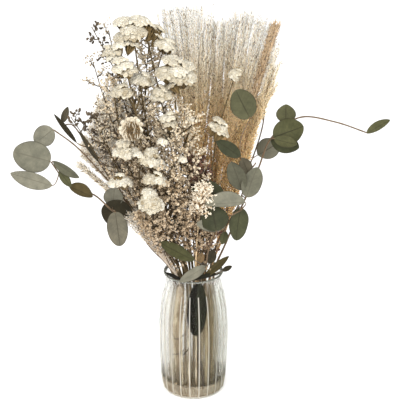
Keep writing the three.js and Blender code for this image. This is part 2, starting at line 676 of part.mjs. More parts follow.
const headFrame = ({ centre, axis }) => ({ middle: at(...centre), out: at(...axis).normalize() });
const largestPlainHead = 20;
const tuftAxis = [0, -0.6, 1];
const tuftRadius = 5.5;
const headSeat = 2;
const calyxHeight = 0.75;
const domeFlatness = 0.72;
const cupFloor = 0.66;
const cupFlare = 0.86;

// The papery white head: a low dome whose every cell is drawn out into a flaring cup, flat below.
// Rings of cells run round the dome, and one more cell closes its top.
function headSolid(head) {
  const random = seeded(head.seed);
  const { middle, out } = headFrame(head);
  const { rings, around } = head.radius > largestPlainHead ? { rings: 3, around: 6 } : { rings: 2, around: 5 };
  const size = head.radius;
  const turned = new THREE.Quaternion().setFromUnitVectors(at(0, 0, 1), out);
  const onDome = (lean, turn, radius) => at(
    radius * Math.sin(lean) * Math.cos(turn),
    radius * Math.sin(lean) * Math.sin(turn),
    radius * domeFlatness * Math.cos(lean),
  );
  const leans = [0.3];
  for (let ring = 1; ring <= rings; ring++) leans.push(0.3 + (ring / rings) * 1.2);
  const vertices = [];
  const faces = [];
  const add = (point) => vertices.push(point) - 1;
  const rows = leans.map((lean, ring) => Array.from({ length: around }, (_, k) => {
    const turn = ((k + 0.5 * (ring % 2) + 0.3 * random()) / around) * 2 * Math.PI;
    return add(onDome(lean, turn, cupFloor * size));
  }));
  // Draws one cell out into a cup and closes it
  const drawOut = (cell) => {
    const centre = cell.reduce((sum, k) => sum.add(vertices[k]), at(0, 0, 0)).divideScalar(cell.length);
    const reach = (0.9 + 0.2 * random()) / cupFloor;
    const rim = cell.map((k) => {
      const spread = vertices[k].clone().sub(centre).multiplyScalar(cupFlare);
      return add(centre.clone().add(spread).multiplyScalar(reach));
    });
    cell.forEach((k, i) => {
      const next = (i + 1) % cell.length;
      faces.push(k, cell[next], rim[next], k, rim[next], rim[i]);
    });
    for (let i = 1; i < rim.length - 1; i++) faces.push(rim[0], rim[i], rim[i + 1]);
  };
  drawOut(rows[0]);
  for (let ring = 0; ring < rings; ring++) {
    for (let k = 0; k < around; k++) {
      const next = (k + 1) % around;
      drawOut([rows[ring][k], rows[ring + 1][k], rows[ring + 1][next], rows[ring][next]]);
    }
  }
  const lowest = rows[rings].map((k) => add(at(0.8 * vertices[k].x, 0.8 * vertices[k].y, -headSeat)));
  lowest.forEach((k, i) => {
    const next = (i + 1) % around;
    faces.push(rows[rings][i], k, lowest[next], rows[rings][i], lowest[next], rows[rings][next]);
    if (i > 0 && i < around - 1) faces.push(lowest[0], lowest[next], k);
  });
  const geometry = new THREE.BufferGeometry();
  const placed = vertices.flatMap((point) => point.applyQuaternion(turned).add(middle).toArray());
  geometry.setAttribute("position", new THREE.Float32BufferAttribute(placed, 3));
  geometry.setIndex(faces);
  return solidOf(geometry);
}

// Forking stems that end just below each head in a cone of bracts
function staticePieces(plant, curve) {
  const pieces = [stalk(curve, 1.9, 1.2, 3)];
  plant.heads.forEach((head, i) => {
    const { middle, out } = headFrame(head);
    const top = middle.clone().addScaledVector(out, -headSeat - seatGap);
    const bottom = middle.clone().addScaledVector(out, -headSeat - calyxHeight * head.radius);
    pieces.push(twig(bottom, top, 1.2, 0.55 * head.radius, 4));
    if (i === 0) return;
    pieces.push(stalk(forkCurve(curve, bottom, out), 1.1, 0.9, 3, 40));
  });
  for (const tuft of plant.tufts ?? []) pieces.push(tuftPiece(curve, at(...tuft)));
  return pieces;
}

// A side twig that ends in a small cup of papery flowers
function tuftPiece(curve, centre) {
  const out = at(...tuftAxis).normalize();
  const line = forkCurve(curve, centre.clone().addScaledVector(out, -tuftRadius), out);
  const points = [0, 0.5, 1].map((part) => line.getPoint(part));
  points.push(centre, centre.clone().addScaledVector(out, 0.4 * tuftRadius));
  const radii = [0.8, 0.7, 1.4, tuftRadius, 0.75 * tuftRadius];
  return swept(points, radii, radii, at(1, 0, 0), 4);
}

// A side stem that leaves the main stem below a head and bends out to it
function forkCurve(curve, end, out) {
  const points = curve.getSpacedPoints(120);
  const isLow = ({ x, y, z }) => z < end.z - 0.9 * Math.hypot(end.x - x, end.y - y) - 25;
  const start = nearestOn([{ curve, step: stemStep }], points.findLast(isLow));
  const bend = end.clone().addScaledVector(out, -0.35 * start.distanceTo(end));
  return new THREE.QuadraticBezierCurve3(start, bend, end.clone().addScaledVector(out, 1.5));
}

function staticeTip(plant) {
  const { middle, out } = headFrame(plant.heads[0]);
  return middle.addScaledVector(out, -headSeat - calyxHeight * plant.heads[0].radius + 1.5).toArray();
}

// Sprays: a wiry stem with side twigs that carry florets or buds. One has curled tendrils inside the vase.
const sprays = [
  { name: "lavender_front_left", slot: [-16, -30], tip: [-64, -98, 336], twigs: 9, reach: 38, seed: 51,
    tendrils: [
      [[-15.6, -29.2, 106], [-22, -39, 105], [-28, -39, 104], [-33, -35, 111]],
      [[-15.5, -28.9, 72], [-15, -40, 77], [-6, -42, 92], [-8, -41, 112]],
      [[-15.5, -29, 79], [-24, -40, 78], [-33, -35, 75]],
    ] },
  { name: "lavender_front_middle", slot: [4, -19], tip: [-16, -66, 482], fork: [-46, -30, 490], twigs: 8,
    reach: 54, seed: 52 },
  { name: "lavender_centre", slot: [-11, -25], tip: [-32, -100, 410], fork: [-86, -64, 440], twigs: 9,
    reach: 48, seed: 53 },
  { name: "lavender_right_low", slot: [11, -27], tip: [-2, -84, 352], twigs: 8, reach: 40, seed: 54 },
  { name: "lavender_left", slot: [-22, -12], tip: [-140, -36, 452], fork: [-118, -20, 520], twigs: 8,
    reach: 52, seed: 55 },
  { name: "lavender_tall_left", slot: [-17, 18], tip: [-124, 24, 582], fork: [-66, 34, 556], twigs: 8,
    reach: 46, seed: 56 },
  { name: "lavender_left_tip", slot: [-21, 6], tip: [-147, 4, 540], twigs: 8, reach: 46, seed: 57 },
  { name: "lavender_back", slot: [-17, 30], tip: [-84, 112, 440], twigs: 8, reach: 52, seed: 58 },
  { name: "lavender_back_right", slot: [18, 30], tip: [70, 106, 452], twigs: 8, reach: 52, seed: 59 },
];

const budSprays = [
  { name: "buds_left", slot: [-25, -2], tip: [-182, 0, 456], fork: [-146, -8, 462], twigs: 7, reach: 34,
    seed: 61 },
  { name: "buds_top_left", slot: [-6, 17], tip: [-148, 14, 590], twigs: 8, reach: 22, seed: 62 },
  { name: "buds_pink", slot: [15, -19], tip: [6, -58, 412], twigs: 8, reach: 26, seed: 63 },
];

const riceFlower = { name: "rice_flower", slot: [4, -32], tip: [16, -106, 384], twigs: 10, reach: 26, seed: 71 };
const forkPart = 0.25;
const forkTwigs = 4;

// A fork leaves its spray's stem above the neck and fans out to a tip of its own
function sprayFork({ slot, tip, fork }) {
  const own = neckPlaceOf(fork);
  const main = neckPlaceOf(tip);
  const points = [forkPart, 0.5, 0.75, 1].map((part) => {
    const end = part === forkPart ? main : own;
    const wide = slot[0] + (end[0] - slot[0]) * part;
    const deep = slot[1] + (end[1] - slot[1]) * part;
    const top = part === forkPart ? tip[2] : fork[2];
    return inBunch(wide, deep, neckHeight + (top - neckHeight) * part);
  });
  return new THREE.CatmullRomCurve3(points, false, "centripetal");
}

function sprayPieces(spray, curve, { tipRadius, lowest, twigRadius }) {
  const random = seeded(spray.seed);
  const stem = wiryStem(curve, 1.8, 1.2);
  const pieces = [stem.geometry];
  for (const points of spray.tendrils ?? []) {
    const radii = points.map((_, k) => 0.9 - (0.5 * k) / points.length);
    pieces.push(swept(points.map((point) => at(...point)), radii, radii, upward));
  }
  const roots = rootsOn(stem, spray.twigs, lowest);
  if (spray.fork) {
    const fork = wiryStem(sprayFork(spray), 1.3, 0.9, 3);
    pieces.push(fork.geometry);
    roots.push(...rootsOn(fork, forkTwigs, lowest));
  }
  for (const { start, heading, outward, place } of roots) {
    const length = spray.reach * (1.05 - 0.6 * ((place - lowest) / (1 - lowest))) * (0.8 + 0.4 * random());
    const direction = heading.clone().multiplyScalar(0.8).addScaledVector(outward, 0.75).normalize();
    const first = start.clone().addScaledVector(direction, 4);
    const cuts = [1, 0.8, 0.6, 0.45];
    const cut = cuts.find((share) => {
      const end = start.clone().addScaledVector(direction, length * share);
      return isLineFree(spray.name, first, end, tipRadius);
    });
    if (!cut) continue;
    const end = start.clone().addScaledVector(direction, length * cut);
    pieces.push(tippedTwig(start, end, twigRadius, tipRadius, random));
    takeCurve(spray.name, new THREE.LineCurve3(start, end), tipRadius);
  }
  return pieces;
}

// Everything together
function driedFlowers() {
  const whole = new THREE.Group();
  const vase = meshOf("vase", solidOf(vaseGeometry()), at(0, 0, 0), glassTint, 0.08);
  vase.material.transparent = true;
  vase.material.opacity = 0.35;
  whole.add(vase);
  const bunch = new THREE.Group();
  whole.add(bunch);

  const tasks = [];
  const addPlant = (plant, curve, colour, make) => {
    takeCurve(plant.name, curve, 1.8);
    tasks.push(() => {
      const solid = joined(make());
      bunch.add(meshOf(plant.name, solid, curve.getPoint(0), colour));
    });
  };
  for (const plant of eucalyptus) {
    const curve = stemCurve(plant);
    if (plant.leafRule) plant.leaves = leavesByRule(curve, plant.leafRule);
    plant.leaves.forEach((leaf) => takeLeaf(plant.name, leaf));
    addPlant(plant, curve, leafGreen, () => eucalyptusPieces(plant, curve));
  }
  const narrowCurve = stemCurve(narrowLeaf);
  narrowLeaf.leaves.forEach((leaf) => takeLeaf(narrowLeaf.name, leaf));
  addPlant(narrowLeaf, narrowCurve, oliveBrown, () => eucalyptusPieces(narrowLeaf, narrowCurve));

  for (const plant of statice) {
    const curve = stemCurve({ slot: plant.slot, tip: staticeTip(plant) });
    addPlant(plant, curve, stemBrown, () => staticePieces(plant, curve));
    plant.heads.forEach((head, i) => {
      const { middle, out } = headFrame(head);
      take(plant.name, middle.clone().addScaledVector(out, 0.1 * head.radius), head.radius);
      const bottom = middle.clone().addScaledVector(out, -headSeat - calyxHeight * head.radius);
      take(plant.name, middle.clone().lerp(bottom, 0.5), 0.5 * head.radius);
      if (i > 0) takeCurve(plant.name, forkCurve(curve, bottom, out), 1.2, 0.1);
      const colour = head.name === "everlasting_head" ? coneBrown : paperWhite;
      tasks.push(() => bunch.add(meshOf(head.name, headSolid(head), middle, colour)));
    });
    for (const tuft of plant.tufts ?? []) {
      const centre = at(...tuft);
      const out = at(...tuftAxis).normalize();
      take(plant.name, centre, tuftRadius);
      takeCurve(plant.name, forkCurve(curve, centre.addScaledVector(out, -tuftRadius), out), 1, 0.1);
    }
  }
  for (const plume of plumes) {
    const curve = stemCurve({ slot: plume.slot, tip: plumeTip(plume) });
    addPlant(plume, curve, plumeCream, () => plumePieces(plume, curve));
  }
  const riceCurve = stemCurve(riceFlower);
  const riceLook = { tipRadius: 3.4, lowest: 0.8, twigRadius: 0.45 };
  addPlant(riceFlower, riceCurve, riceWhite, () => sprayPieces(riceFlower, riceCurve, riceLook));
  for (const spray of budSprays) {
    const curve = stemCurve(spray);
    const look = { tipRadius: 2.8, lowest: 0.6, twigRadius: 0.45 };
    addPlant(spray, curve, budBrown, () => sprayPieces(spray, curve, look));
  }
  for (const spray of sprays) {
    const curve = stemCurve(spray);
    const look = { tipRadius: 4.4, lowest: 0.3, twigRadius: 0.45 };
    if (spray.fork) takeCurve(spray.name, sprayFork(spray), 1.4);
    addPlant(spray, curve, floretCream, () => sprayPieces(spray, curve, look));
  }
  tasks.forEach((task) => task());
  return whole;
}

export default driedFlowers();
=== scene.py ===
# A clear ribbed glass vase with a loose bunch of dried flowers.
# Plants are worked out in millimetres and turned into metres when their mesh is made.
import math

import bpy
import numpy as np
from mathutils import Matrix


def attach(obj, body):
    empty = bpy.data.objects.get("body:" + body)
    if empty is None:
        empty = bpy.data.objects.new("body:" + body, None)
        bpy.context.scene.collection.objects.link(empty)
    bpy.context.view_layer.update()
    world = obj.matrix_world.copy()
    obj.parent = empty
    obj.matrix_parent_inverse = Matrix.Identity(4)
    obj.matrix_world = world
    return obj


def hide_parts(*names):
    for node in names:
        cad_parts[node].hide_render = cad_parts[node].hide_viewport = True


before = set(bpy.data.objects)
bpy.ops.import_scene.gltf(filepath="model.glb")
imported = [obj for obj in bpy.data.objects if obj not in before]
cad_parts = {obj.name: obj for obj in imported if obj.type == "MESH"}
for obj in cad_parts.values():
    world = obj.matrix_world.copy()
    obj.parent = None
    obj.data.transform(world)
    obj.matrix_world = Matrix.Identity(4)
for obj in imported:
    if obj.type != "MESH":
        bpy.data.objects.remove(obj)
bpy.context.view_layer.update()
millimetre = 0.001
goldenAngle = math.pi * (3 - math.sqrt(5))
fullTurn = 2 * math.pi
upward = np.array([0.0, 0.0, 1.0])
towardViewer = (0, -1, 0.4)
slanted = (0.31, 0.87, 0.22)  # no stem runs along this way


# camera, floor and light
view = {"place": (0.0104, -1.850, 1.070), "tiltDown": 22.0, "lens": 117.5, "sensor": 36,
        "near": 0.05, "far": 50}
floorLook = {"shade": 0.93, "corners": [(-6, -6, 0), (6, -6, 0), (6, 9, 0), (-6, 9, 0)], "drop": 0.0004}
skyLight = 1.25
lamps = {
    "keyLight": {"place": (-0.75, -2.3, 2.0), "target": (0, 0, 0.35), "size": 2.0, "power": 58.0,
                 "colour": (1, 0.98, 0.95)},
    "fillLight": {"place": (1.3, -1.9, 1.3), "target": (0, 0, 0.4), "size": 1.6, "power": 26.0,
                  "colour": (1, 0.98, 0.95)},
}


def setCamera():
    camera = bpy.data.cameras.new("camera")
    camera.lens = view["lens"]
    camera.sensor_width = view["sensor"]
    camera.clip_start, camera.clip_end = view["near"], view["far"]
    holder = bpy.data.objects.new("camera", camera)
    holder.location = view["place"]
    holder.rotation_euler = (math.radians(90 - view["tiltDown"]), 0, 0)
    bpy.context.scene.collection.objects.link(holder)
    bpy.context.scene.camera = holder


def areaLight(name, place, target, size, power, colour):
    lamp = bpy.data.lights.new(name, "AREA")
    lamp.shape = "DISK"
    lamp.size = size
    lamp.energy = power
    lamp.color = colour
    holder = bpy.data.objects.new(name, lamp)
    holder.location = place
    way = np.array(target, float) - np.array(place, float)
    tilt = math.atan2(math.hypot(way[0], way[1]), -way[2])
    holder.rotation_euler = (tilt, 0, math.atan2(way[1], way[0]) - math.pi / 2)
    bpy.context.scene.collection.objects.link(holder)


def setStudio():
    world = bpy.data.worlds.new("studio")
    world.use_nodes = True
    sky = world.node_tree.nodes["Background"]
    sky.inputs["Color"].default_value = (1, 1, 1, 1)
    sky.inputs["Strength"].default_value = skyLight
    bpy.context.scene.world = world
    bpy.context.scene.view_settings.view_transform = "Standard"
    for name, lamp in lamps.items():
        areaLight(name, **lamp)
    mesh = bpy.data.meshes.new("floor")
    mesh.from_pydata(floorLook["corners"], [], [(0, 1, 2, 3)])
    floor = bpy.data.objects.new("floor", mesh)
    floor.location.z = -floorLook["drop"]
    bpy.context.scene.collection.objects.link(floor)
    mesh.materials.append(floorFinish())


# node helpers for the finishes
def newFinish(name, roughness=0.7, specular=0.3):
    material = bpy.data.materials.new(name)
    material.use_nodes = True
    shader = material.node_tree.nodes["Principled BSDF"]
    shader.inputs["Roughness"].default_value = roughness
    shader.inputs["Specular IOR Level"].default_value = specular
    return material, material.node_tree, shader


def attribute(tree, name):
    node = tree.nodes.new("ShaderNodeAttribute")
    node.attribute_name = name
    return node.outputs["Fac"]


def objectPlace(tree):
    return tree.nodes.new("ShaderNodeTexCoord").outputs["Object"]


def alongAxis(tree, axis):
    split = tree.nodes.new("ShaderNodeSeparateXYZ")
    tree.links.new(objectPlace(tree), split.inputs[0])
    return split.outputs[axis]


def noise(tree, scale, detail=4, rough=0.6, stretch=None):
    place = objectPlace(tree)
    if stretch:
        mapping = tree.nodes.new("ShaderNodeMapping")
        mapping.inputs["Scale"].default_value = stretch
        tree.links.new(place, mapping.inputs["Vector"])
        place = mapping.outputs["Vector"]
    node = tree.nodes.new("ShaderNodeTexNoise")
    node.inputs["Scale"].default_value = scale
    node.inputs["Detail"].default_value = detail
    node.inputs["Roughness"].default_value = rough
    tree.links.new(place, node.inputs["Vector"])
    return node.outputs["Fac"]


def mathStep(tree, kind, first, second, clamp=False):
    node = tree.nodes.new("ShaderNodeMath")
    node.operation = kind
    node.use_clamp = clamp
    for socket, value in zip(node.inputs, (first, second)):
        if isinstance(value, (int, float)):
            socket.default_value = value
        else:
            tree.links.new(value, socket)
    return node.outputs[0]


def plus(tree, first, second):
    return mathStep(tree, "ADD", first, second)


def minus(tree, first, second, clamp=False):
    return mathStep(tree, "SUBTRACT", first, second, clamp)


def times(tree, first, second, clamp=False):
    return mathStep(tree, "MULTIPLY", first, second, clamp)


def ramp(tree, value, stops):
    node = tree.nodes.new("ShaderNodeValToRGB")
    elements = node.color_ramp.elements
    while len(elements) < len(stops):
        elements.new(0.5)
    for element, (place, colour) in zip(elements, stops):
        element.position = place
        element.color = (*colour, 1)
    tree.links.new(value, node.inputs["Fac"])
    return node.outputs["Color"]


def blendColours(tree, amount, first, second, kind="MIX"):
    node = tree.nodes.new("ShaderNodeMix")
    node.data_type = "RGBA"
    node.blend_type = kind
    node.clamp_factor = True
    for socket, value in ((node.inputs["Factor"], amount), (node.inputs[6], first), (node.inputs[7], second)):
        if isinstance(value, (int, float)):
            socket.default_value = value
        elif isinstance(value, tuple):
            socket.default_value = (*value, 1)
        else:
            tree.links.new(value, socket)
    return node.outputs[2]


def tinted(tree, first, second):
    return blendColours(tree, 1.0, first, second, "MULTIPLY")


def bump(tree, shader, height, distance, strength=0.6):
    node = tree.nodes.new("ShaderNodeBump")
    node.inputs["Strength"].default_value = strength
    node.inputs["Distance"].default_value = distance
    tree.links.new(height, node.inputs["Height"])
    tree.links.new(node.outputs["Normal"], shader.inputs["Normal"])


def floorFinish():
    material, tree, shader = newFinish("paleFloor", 0.9, 0.1)
    shade = floorLook["shade"]
    colour = ramp(tree, noise(tree, 3, 2), [(0, (shade * 0.985,) * 3), (1, (shade,) * 3)])
    tree.links.new(colour, shader.inputs["Base Color"])
    return material


# a leaf's tone is a place on this scale
leafTones = [
    (0.00, (0.006, 0.005, 0.003)), (0.12, (0.042, 0.046, 0.025)), (0.24, (0.062, 0.063, 0.028)),
    (0.36, (0.076, 0.076, 0.052)), (0.48, (0.168, 0.165, 0.131)), (0.60, (0.088, 0.078, 0.055)),
    (0.72, (0.029, 0.025, 0.015)), (0.86, (0.054, 0.044, 0.018)), (1.00, (0.20, 0.135, 0.070)),
]
leafPaint = {"backTone": (0.30, 0.29, 0.24), "darkVein": (0.020, 0.017, 0.010),
             "paleVein": (0.10, 0.092, 0.068), "rimTone": (0.032, 0.026, 0.016), "sideVeins": 9.0,
             "slant": 2.6, "sideVeinThin": 11.0, "sideVeinShare": 0.30, "midribThin": 16.0, "cover": 0.85,
             "rimFrom": 0.91, "relief": 0.0006}


def leafFinish(name, lighter, roughness):
    look = leafPaint
    material, tree, shader = newFinish(name, roughness, 0.08)
    tone, along, outward = (attribute(tree, key) for key in ("tint", "along", "outward"))
    mottle = noise(tree, 95, 6)
    patch = ramp(tree, mottle, [(0.3, (0.72, 0.72, 0.70)), (0.7, (1.18, 1.15, 1.10))])
    base = blendColours(tree, lighter, tinted(tree, ramp(tree, tone, leafTones), patch), look["backTone"])
    # side veins leave the midrib at a slant and fade before the rim
    slant = minus(tree, times(tree, along, look["sideVeins"]), times(tree, outward, look["slant"]))
    wave = times(tree, mathStep(tree, "PINGPONG", slant, 0.5), look["sideVeinThin"])
    sideVein = times(tree, minus(tree, 1.0, wave, True), look["sideVeinShare"])
    midrib = minus(tree, 1.0, times(tree, outward, look["midribThin"]), True)
    veins = mathStep(tree, "MAXIMUM", sideVein, midrib)
    dark, pale = look["darkVein"], look["paleVein"]
    veinTone = ramp(tree, tone, [(0.32, dark), (0.44, pale), (0.52, pale), (0.58, dark)])
    base = blendColours(tree, times(tree, veins, look["cover"]), base, veinTone)
    rim = times(tree, minus(tree, outward, look["rimFrom"]), 10.0, True)
    base = blendColours(tree, times(tree, rim, look["cover"]), base, look["rimTone"])
    tree.links.new(base, shader.inputs["Base Color"])
    shader.inputs["Sheen Weight"].default_value = 0.02
    shader.inputs["Sheen Roughness"].default_value = 0.5
    bump(tree, shader, plus(tree, times(tree, veins, 0.6), times(tree, mottle, 0.35)), look["relief"], 0.7)
    return material


# inside the vase most stems are bleached to straw, each in its own shade, and darkened at the right with
# painted shade
strawLook = {"below": 0.196, "fade": 26.0, "shadeRightOf": 0.006, "shadeFade": 40.0, "shadeOnRight": (0.66, 0.60, 0.47),
             "shades": [(0.32, (0.09, 0.064, 0.034)), (0.42, (0.32, 0.25, 0.17)), (0.52, (0.60, 0.54, 0.41)),
                        (0.66, (0.78, 0.74, 0.62))]}


def paleInVase(tree, colour):
    look = strawLook
    low = times(tree, minus(tree, look["below"], alongAxis(tree, "Z")), look["fade"], True)
    streak = noise(tree, 60, 3, 0.6, (9, 9, 0.5))
    shade = plus(tree, times(tree, streak, 0.55), times(tree, attribute(tree, "tint"), 0.45))
    straw = ramp(tree, shade, look["shades"])
    # painted shade: the straw is tinted darker towards the right side
    shadedRight = times(tree, minus(tree, alongAxis(tree, "X"), look["shadeRightOf"]), look["shadeFade"], True)
    straw = blendColours(tree, shadedRight, straw, tinted(tree, straw, look["shadeOnRight"]))
    return blendColours(tree, low, colour, straw)


def dryFinish(name, shades, roughness=0.75, grainScale=220, relief=0.0004, sheen=0.04,
              alongShades=None, patches=(0.75, 1.12), bleached=False, glow=0.0):
    material, tree, shader = newFinish(name, roughness, 0.08)
    shader.inputs["Subsurface Weight"].default_value = glow
    shader.inputs["Subsurface Radius"].default_value = (1.0, 0.9, 0.75)
    shader.inputs["Subsurface Scale"].default_value = 0.002
    grain = noise(tree, grainScale)
    tint = plus(tree, times(tree, attribute(tree, "tint"), 0.8), times(tree, grain, 0.2))
    colour = ramp(tree, tint, shades)
    if alongShades:
        colour = tinted(tree, colour, ramp(tree, attribute(tree, "along"), alongShades))
    colour = tinted(tree, colour, ramp(tree, grain, [(0.3, (patches[0],) * 3), (0.7, (patches[1],) * 3)]))
    if bleached:
        colour = paleInVase(tree, colour)
    tree.links.new(colour, shader.inputs["Base Color"])
    shader.inputs["Sheen Weight"].default_value = sheen
    bump(tree, shader, grain, relief, 0.5)
    return material


# the base has upright streaks painted into it, which stand in for the feet of the stems seen through the
# glass
glassLook = {
    "ribbedGlass": {"tone": (0.93, 0.935, 0.905), "roughness": 0.03, "clearness": 1.0, "density": 14.0,
                    "cover": 0.5},
    # the ridge finish is pale cream and frosted: painted highlights along the ridges, and painted light round
    # the foot
    "ribbedGlassRidge": {"tone": (0.88, 0.83, 0.73), "roughness": 0.3, "clearness": 0.6, "density": 16.0},
    # the grey lip tone is painted shade, for the dark band the rim shows
    "ribbedGlassLip": {"tone": (0.66, 0.68, 0.63), "roughness": 0.12, "clearness": 0.8, "density": 16.0},
    # painted streaks stand in for the view of the stems through the base
    "ribbedGlassBase": {"roughness": 0.18, "clearness": 0.72, "density": 6.0, "streaks": [
        (0.36, (0.20, 0.145, 0.085)), (0.48, (0.50, 0.42, 0.31)), (0.66, (0.72, 0.66, 0.53))]},
}
# rightTone greys the glass towards its right side: painted shade
glassBody = {"bend": 1.18, "tone": (0.58, 0.57, 0.46), "shadeRightOf": 0.008, "shadeFade": 28.0,
             "rightTone": (0.62, 0.64, 0.59), "relief": 0.0006}


def glassFinish(name, roughness, clearness, density, tone=None, cover=1.0, streaks=None):
    look = glassBody
    material, tree, shader = newFinish(name, roughness, 0.1)
    shader.inputs["Transmission Weight"].default_value = clearness
    shader.inputs["Alpha"].default_value = cover
    shader.inputs["IOR"].default_value = look["bend"]
    ripple = noise(tree, 28, 2, 0.4, (1, 1, 0.25))
    if streaks:
        colour = ramp(tree, noise(tree, 60, 3, 0.6, (9, 9, 0.6)), streaks)
    else:
        colour = ramp(tree, ripple, [(0.2, tone), (0.8, tuple(min(1, 1.04 * part) for part in tone))])
    # painted shade: the glass is tinted darker towards its right side
    side = times(tree, minus(tree, alongAxis(tree, "X"), look["shadeRightOf"]), look["shadeFade"], True)
    colour = blendColours(tree, side, colour, tinted(tree, colour, look["rightTone"]))
    tree.links.new(colour, shader.inputs["Base Color"])
    bump(tree, shader, ripple, look["relief"], 0.25)
    body = tree.nodes.new("ShaderNodeVolumeAbsorption")
    body.inputs["Color"].default_value = (*look["tone"], 1)
    body.inputs["Density"].default_value = density
    tree.links.new(body.outputs[0], tree.nodes["Material Output"].inputs["Volume"])
    return material


# piles of corners and faces
def newPile():
    return {"points": [], "faces": [], "tint": [], "along": [], "outward": [], "finishes": [], "count": 0}


def addTo(pile, points, faces, tint=0.5, along=0.5, outward=0.0, finish=0):
    points = np.asarray(points, float).reshape(-1, 3)
    pile["points"].append(points)
    for key, value in (("tint", tint), ("along", along), ("outward", outward)):
        pile[key].append(np.broadcast_to(np.asarray(value, float).ravel(), len(points)).copy())
    finishes = finish if isinstance(finish, (list, tuple)) else [finish] * len(faces)
    for some, index in zip(faces, finishes):
        some = np.asarray(some, int)
        pile["faces"].append(some + pile["count"])
        pile["finishes"].append(np.full(len(some), index))
    pile["count"] += len(points)


def makePiece(node, pile, finishes):
    points = np.concatenate(pile["points"]) * millimetre
    corners = np.concatenate([some.ravel() for some in pile["faces"]])
    sizes = np.concatenate([np.full(len(some), some.shape[1]) for some in pile["faces"]])
    starts = np.concatenate([[0], np.cumsum(sizes)[:-1]])
    mesh = bpy.data.meshes.new("dry_" + node)
    mesh.vertices.add(len(points))
    mesh.vertices.foreach_set("co", points.ravel())
    mesh.loops.add(len(corners))
    mesh.loops.foreach_set("vertex_index", corners.astype(np.int32))
    mesh.polygons.add(len(sizes))
    mesh.polygons.foreach_set("loop_start", starts.astype(np.int32))
    mesh.polygons.foreach_set("material_index", np.concatenate(pile["finishes"]).astype(np.int32))
    mesh.update(calc_edges=True)
    mesh.polygons.foreach_set("use_smooth", np.full(len(sizes), True))
    for key in ("tint", "along", "outward"):
        layer = mesh.attributes.new(key, "FLOAT", "POINT")
        layer.data.foreach_set("value", np.concatenate(pile[key]).astype(np.float32))
    for finish in finishes:
        mesh.materials.append(finish)
    piece = bpy.data.objects.new("dry_" + node, mesh)
    bpy.context.scene.collection.objects.link(piece)
    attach(piece, "root")
    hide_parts(node)
    print(f"{node}: {int((sizes - 2).sum())} triangles")


def unit(vector):
    vector = np.asarray(vector, float)
    return vector / np.maximum(np.linalg.norm(vector, axis=-1, keepdims=True), 1e-9)


def together(*parts):
    # numbers and rows of numbers as the columns of one table
    return np.stack(np.broadcast_arrays(*parts), -1)


def compass(turn):
    return together(np.cos(turn), np.sin(turn), 0 * turn)


def framesAlong(points):
    heading = unit(np.gradient(points, axis=0))
    side = unit(np.cross(heading[0], slanted))
    sides = []
    for way in heading:
        side = unit(side - way * side.dot(way))
        sides.append(side)
    sides = np.array(sides)
    return heading, sides, np.cross(heading, sides)


def ringFaces(rows, around, first=0):
    # four-cornered faces between rings of points that lie one after the other
    row, step = np.meshgrid(np.arange(rows - 1), np.arange(around), indexing="ij")
    after = (step + 1) % around
    low, high = first + row * around, first + (row + 1) * around
    return together(low + step, low + after, high + after, high + step).reshape(-1, 4)


def fanFaces(point, ring, around, turned=False):
    # three-cornered faces from one point to the ring that starts at a corner
    step = np.arange(around)
    after = (step + 1) % around
    if turned:
        step, after = after, step
    return together(point, ring + step, ring + after)


def addTube(pile, points, radii, sides=6, tint=0.5, along=None, finish=0, flat=1.0):
    points = np.asarray(points, float)
    count = len(points)
    _, across, deep = framesAlong(points)
    turn = np.arange(sides) / sides * fullTurn
    radii = np.broadcast_to(radii, count)
    ring = np.cos(turn)[None, :, None] * across[:, None] + flat * np.sin(turn)[None, :, None] * deep[:, None]
    skin = points[:, None] + ring * radii[:, None, None]
    skin = np.concatenate([skin.reshape(-1, 3), points[:1], points[-1:]])
    caps = fanFaces(count * sides, 0, sides, True), fanFaces(count * sides + 1, (count - 1) * sides, sides)
    spread = np.linspace(0, 1, count) if along is None else np.broadcast_to(along, count)
    spread = np.concatenate([np.repeat(spread, sides), spread[:1], spread[-1:]])
    addTo(pile, skin, [ringFaces(count, sides), *caps], tint, spread, 0, finish)


def addCopies(pile, shape, places, aims, sizes, spins, tints, alongs=0.5, finish=0):
    points, faces = shape
    places = np.asarray(places, float).reshape(-1, 3)
    count = len(places)
    if count == 0:
        return
    aims = np.broadcast_to(unit(aims), (count, 3))
    hint = np.where(np.abs(aims[:, 2:3]) < 0.9, upward, np.array([1.0, 0.0, 0.0]))
    across = unit(np.cross(hint, aims))
    deep = np.cross(aims, across)
    cos, sin = np.cos(spins).reshape(-1, 1), np.sin(spins).reshape(-1, 1)
    across, deep = across * cos + deep * sin, deep * cos - across * sin
    sizes = np.broadcast_to(np.asarray(sizes, float), (count, 3))
    skin = places[:, None] + sum(
        points[None, :, axis, None] * (sizes[:, axis, None, None] * way[:, None])
        for axis, way in enumerate((across, deep, aims)))
    shift = (np.arange(count) * len(points))[:, None, None]
    tints = np.repeat(np.broadcast_to(tints, count), len(points))
    alongs = np.repeat(np.broadcast_to(alongs, count), len(points))
    moved = [(some[None] + shift).reshape(-1, some.shape[1]) for some in faces]
    addTo(pile, skin, moved, tints, alongs, 0, finish)


def addStem(pile, line, thick, thin, sides, tint, finish, along=(0, 1)):
    stem = evenLine(line, 6)
    addTube(pile, stem, np.linspace(thick, thin, len(stem)), sides, tint, np.linspace(*along, len(stem)),
            finish)
    return stem


# small shapes that are repeated
def ringShape(rings, top=None, bottom=None):
    # rings of points, bottom to top, closed by a point at each end
    around = len(rings[0])
    points = np.concatenate([np.array(ring, float) for ring in rings] + [[bottom], [top]])
    faces = [ringFaces(2, around, row * around) for row in range(len(rings) - 1)]
    under = fanFaces(len(points) - 2, 0, around, True)
    over = fanFaces(len(points) - 1, (len(rings) - 1) * around, around)
    return points, faces + [np.concatenate([under, over])]


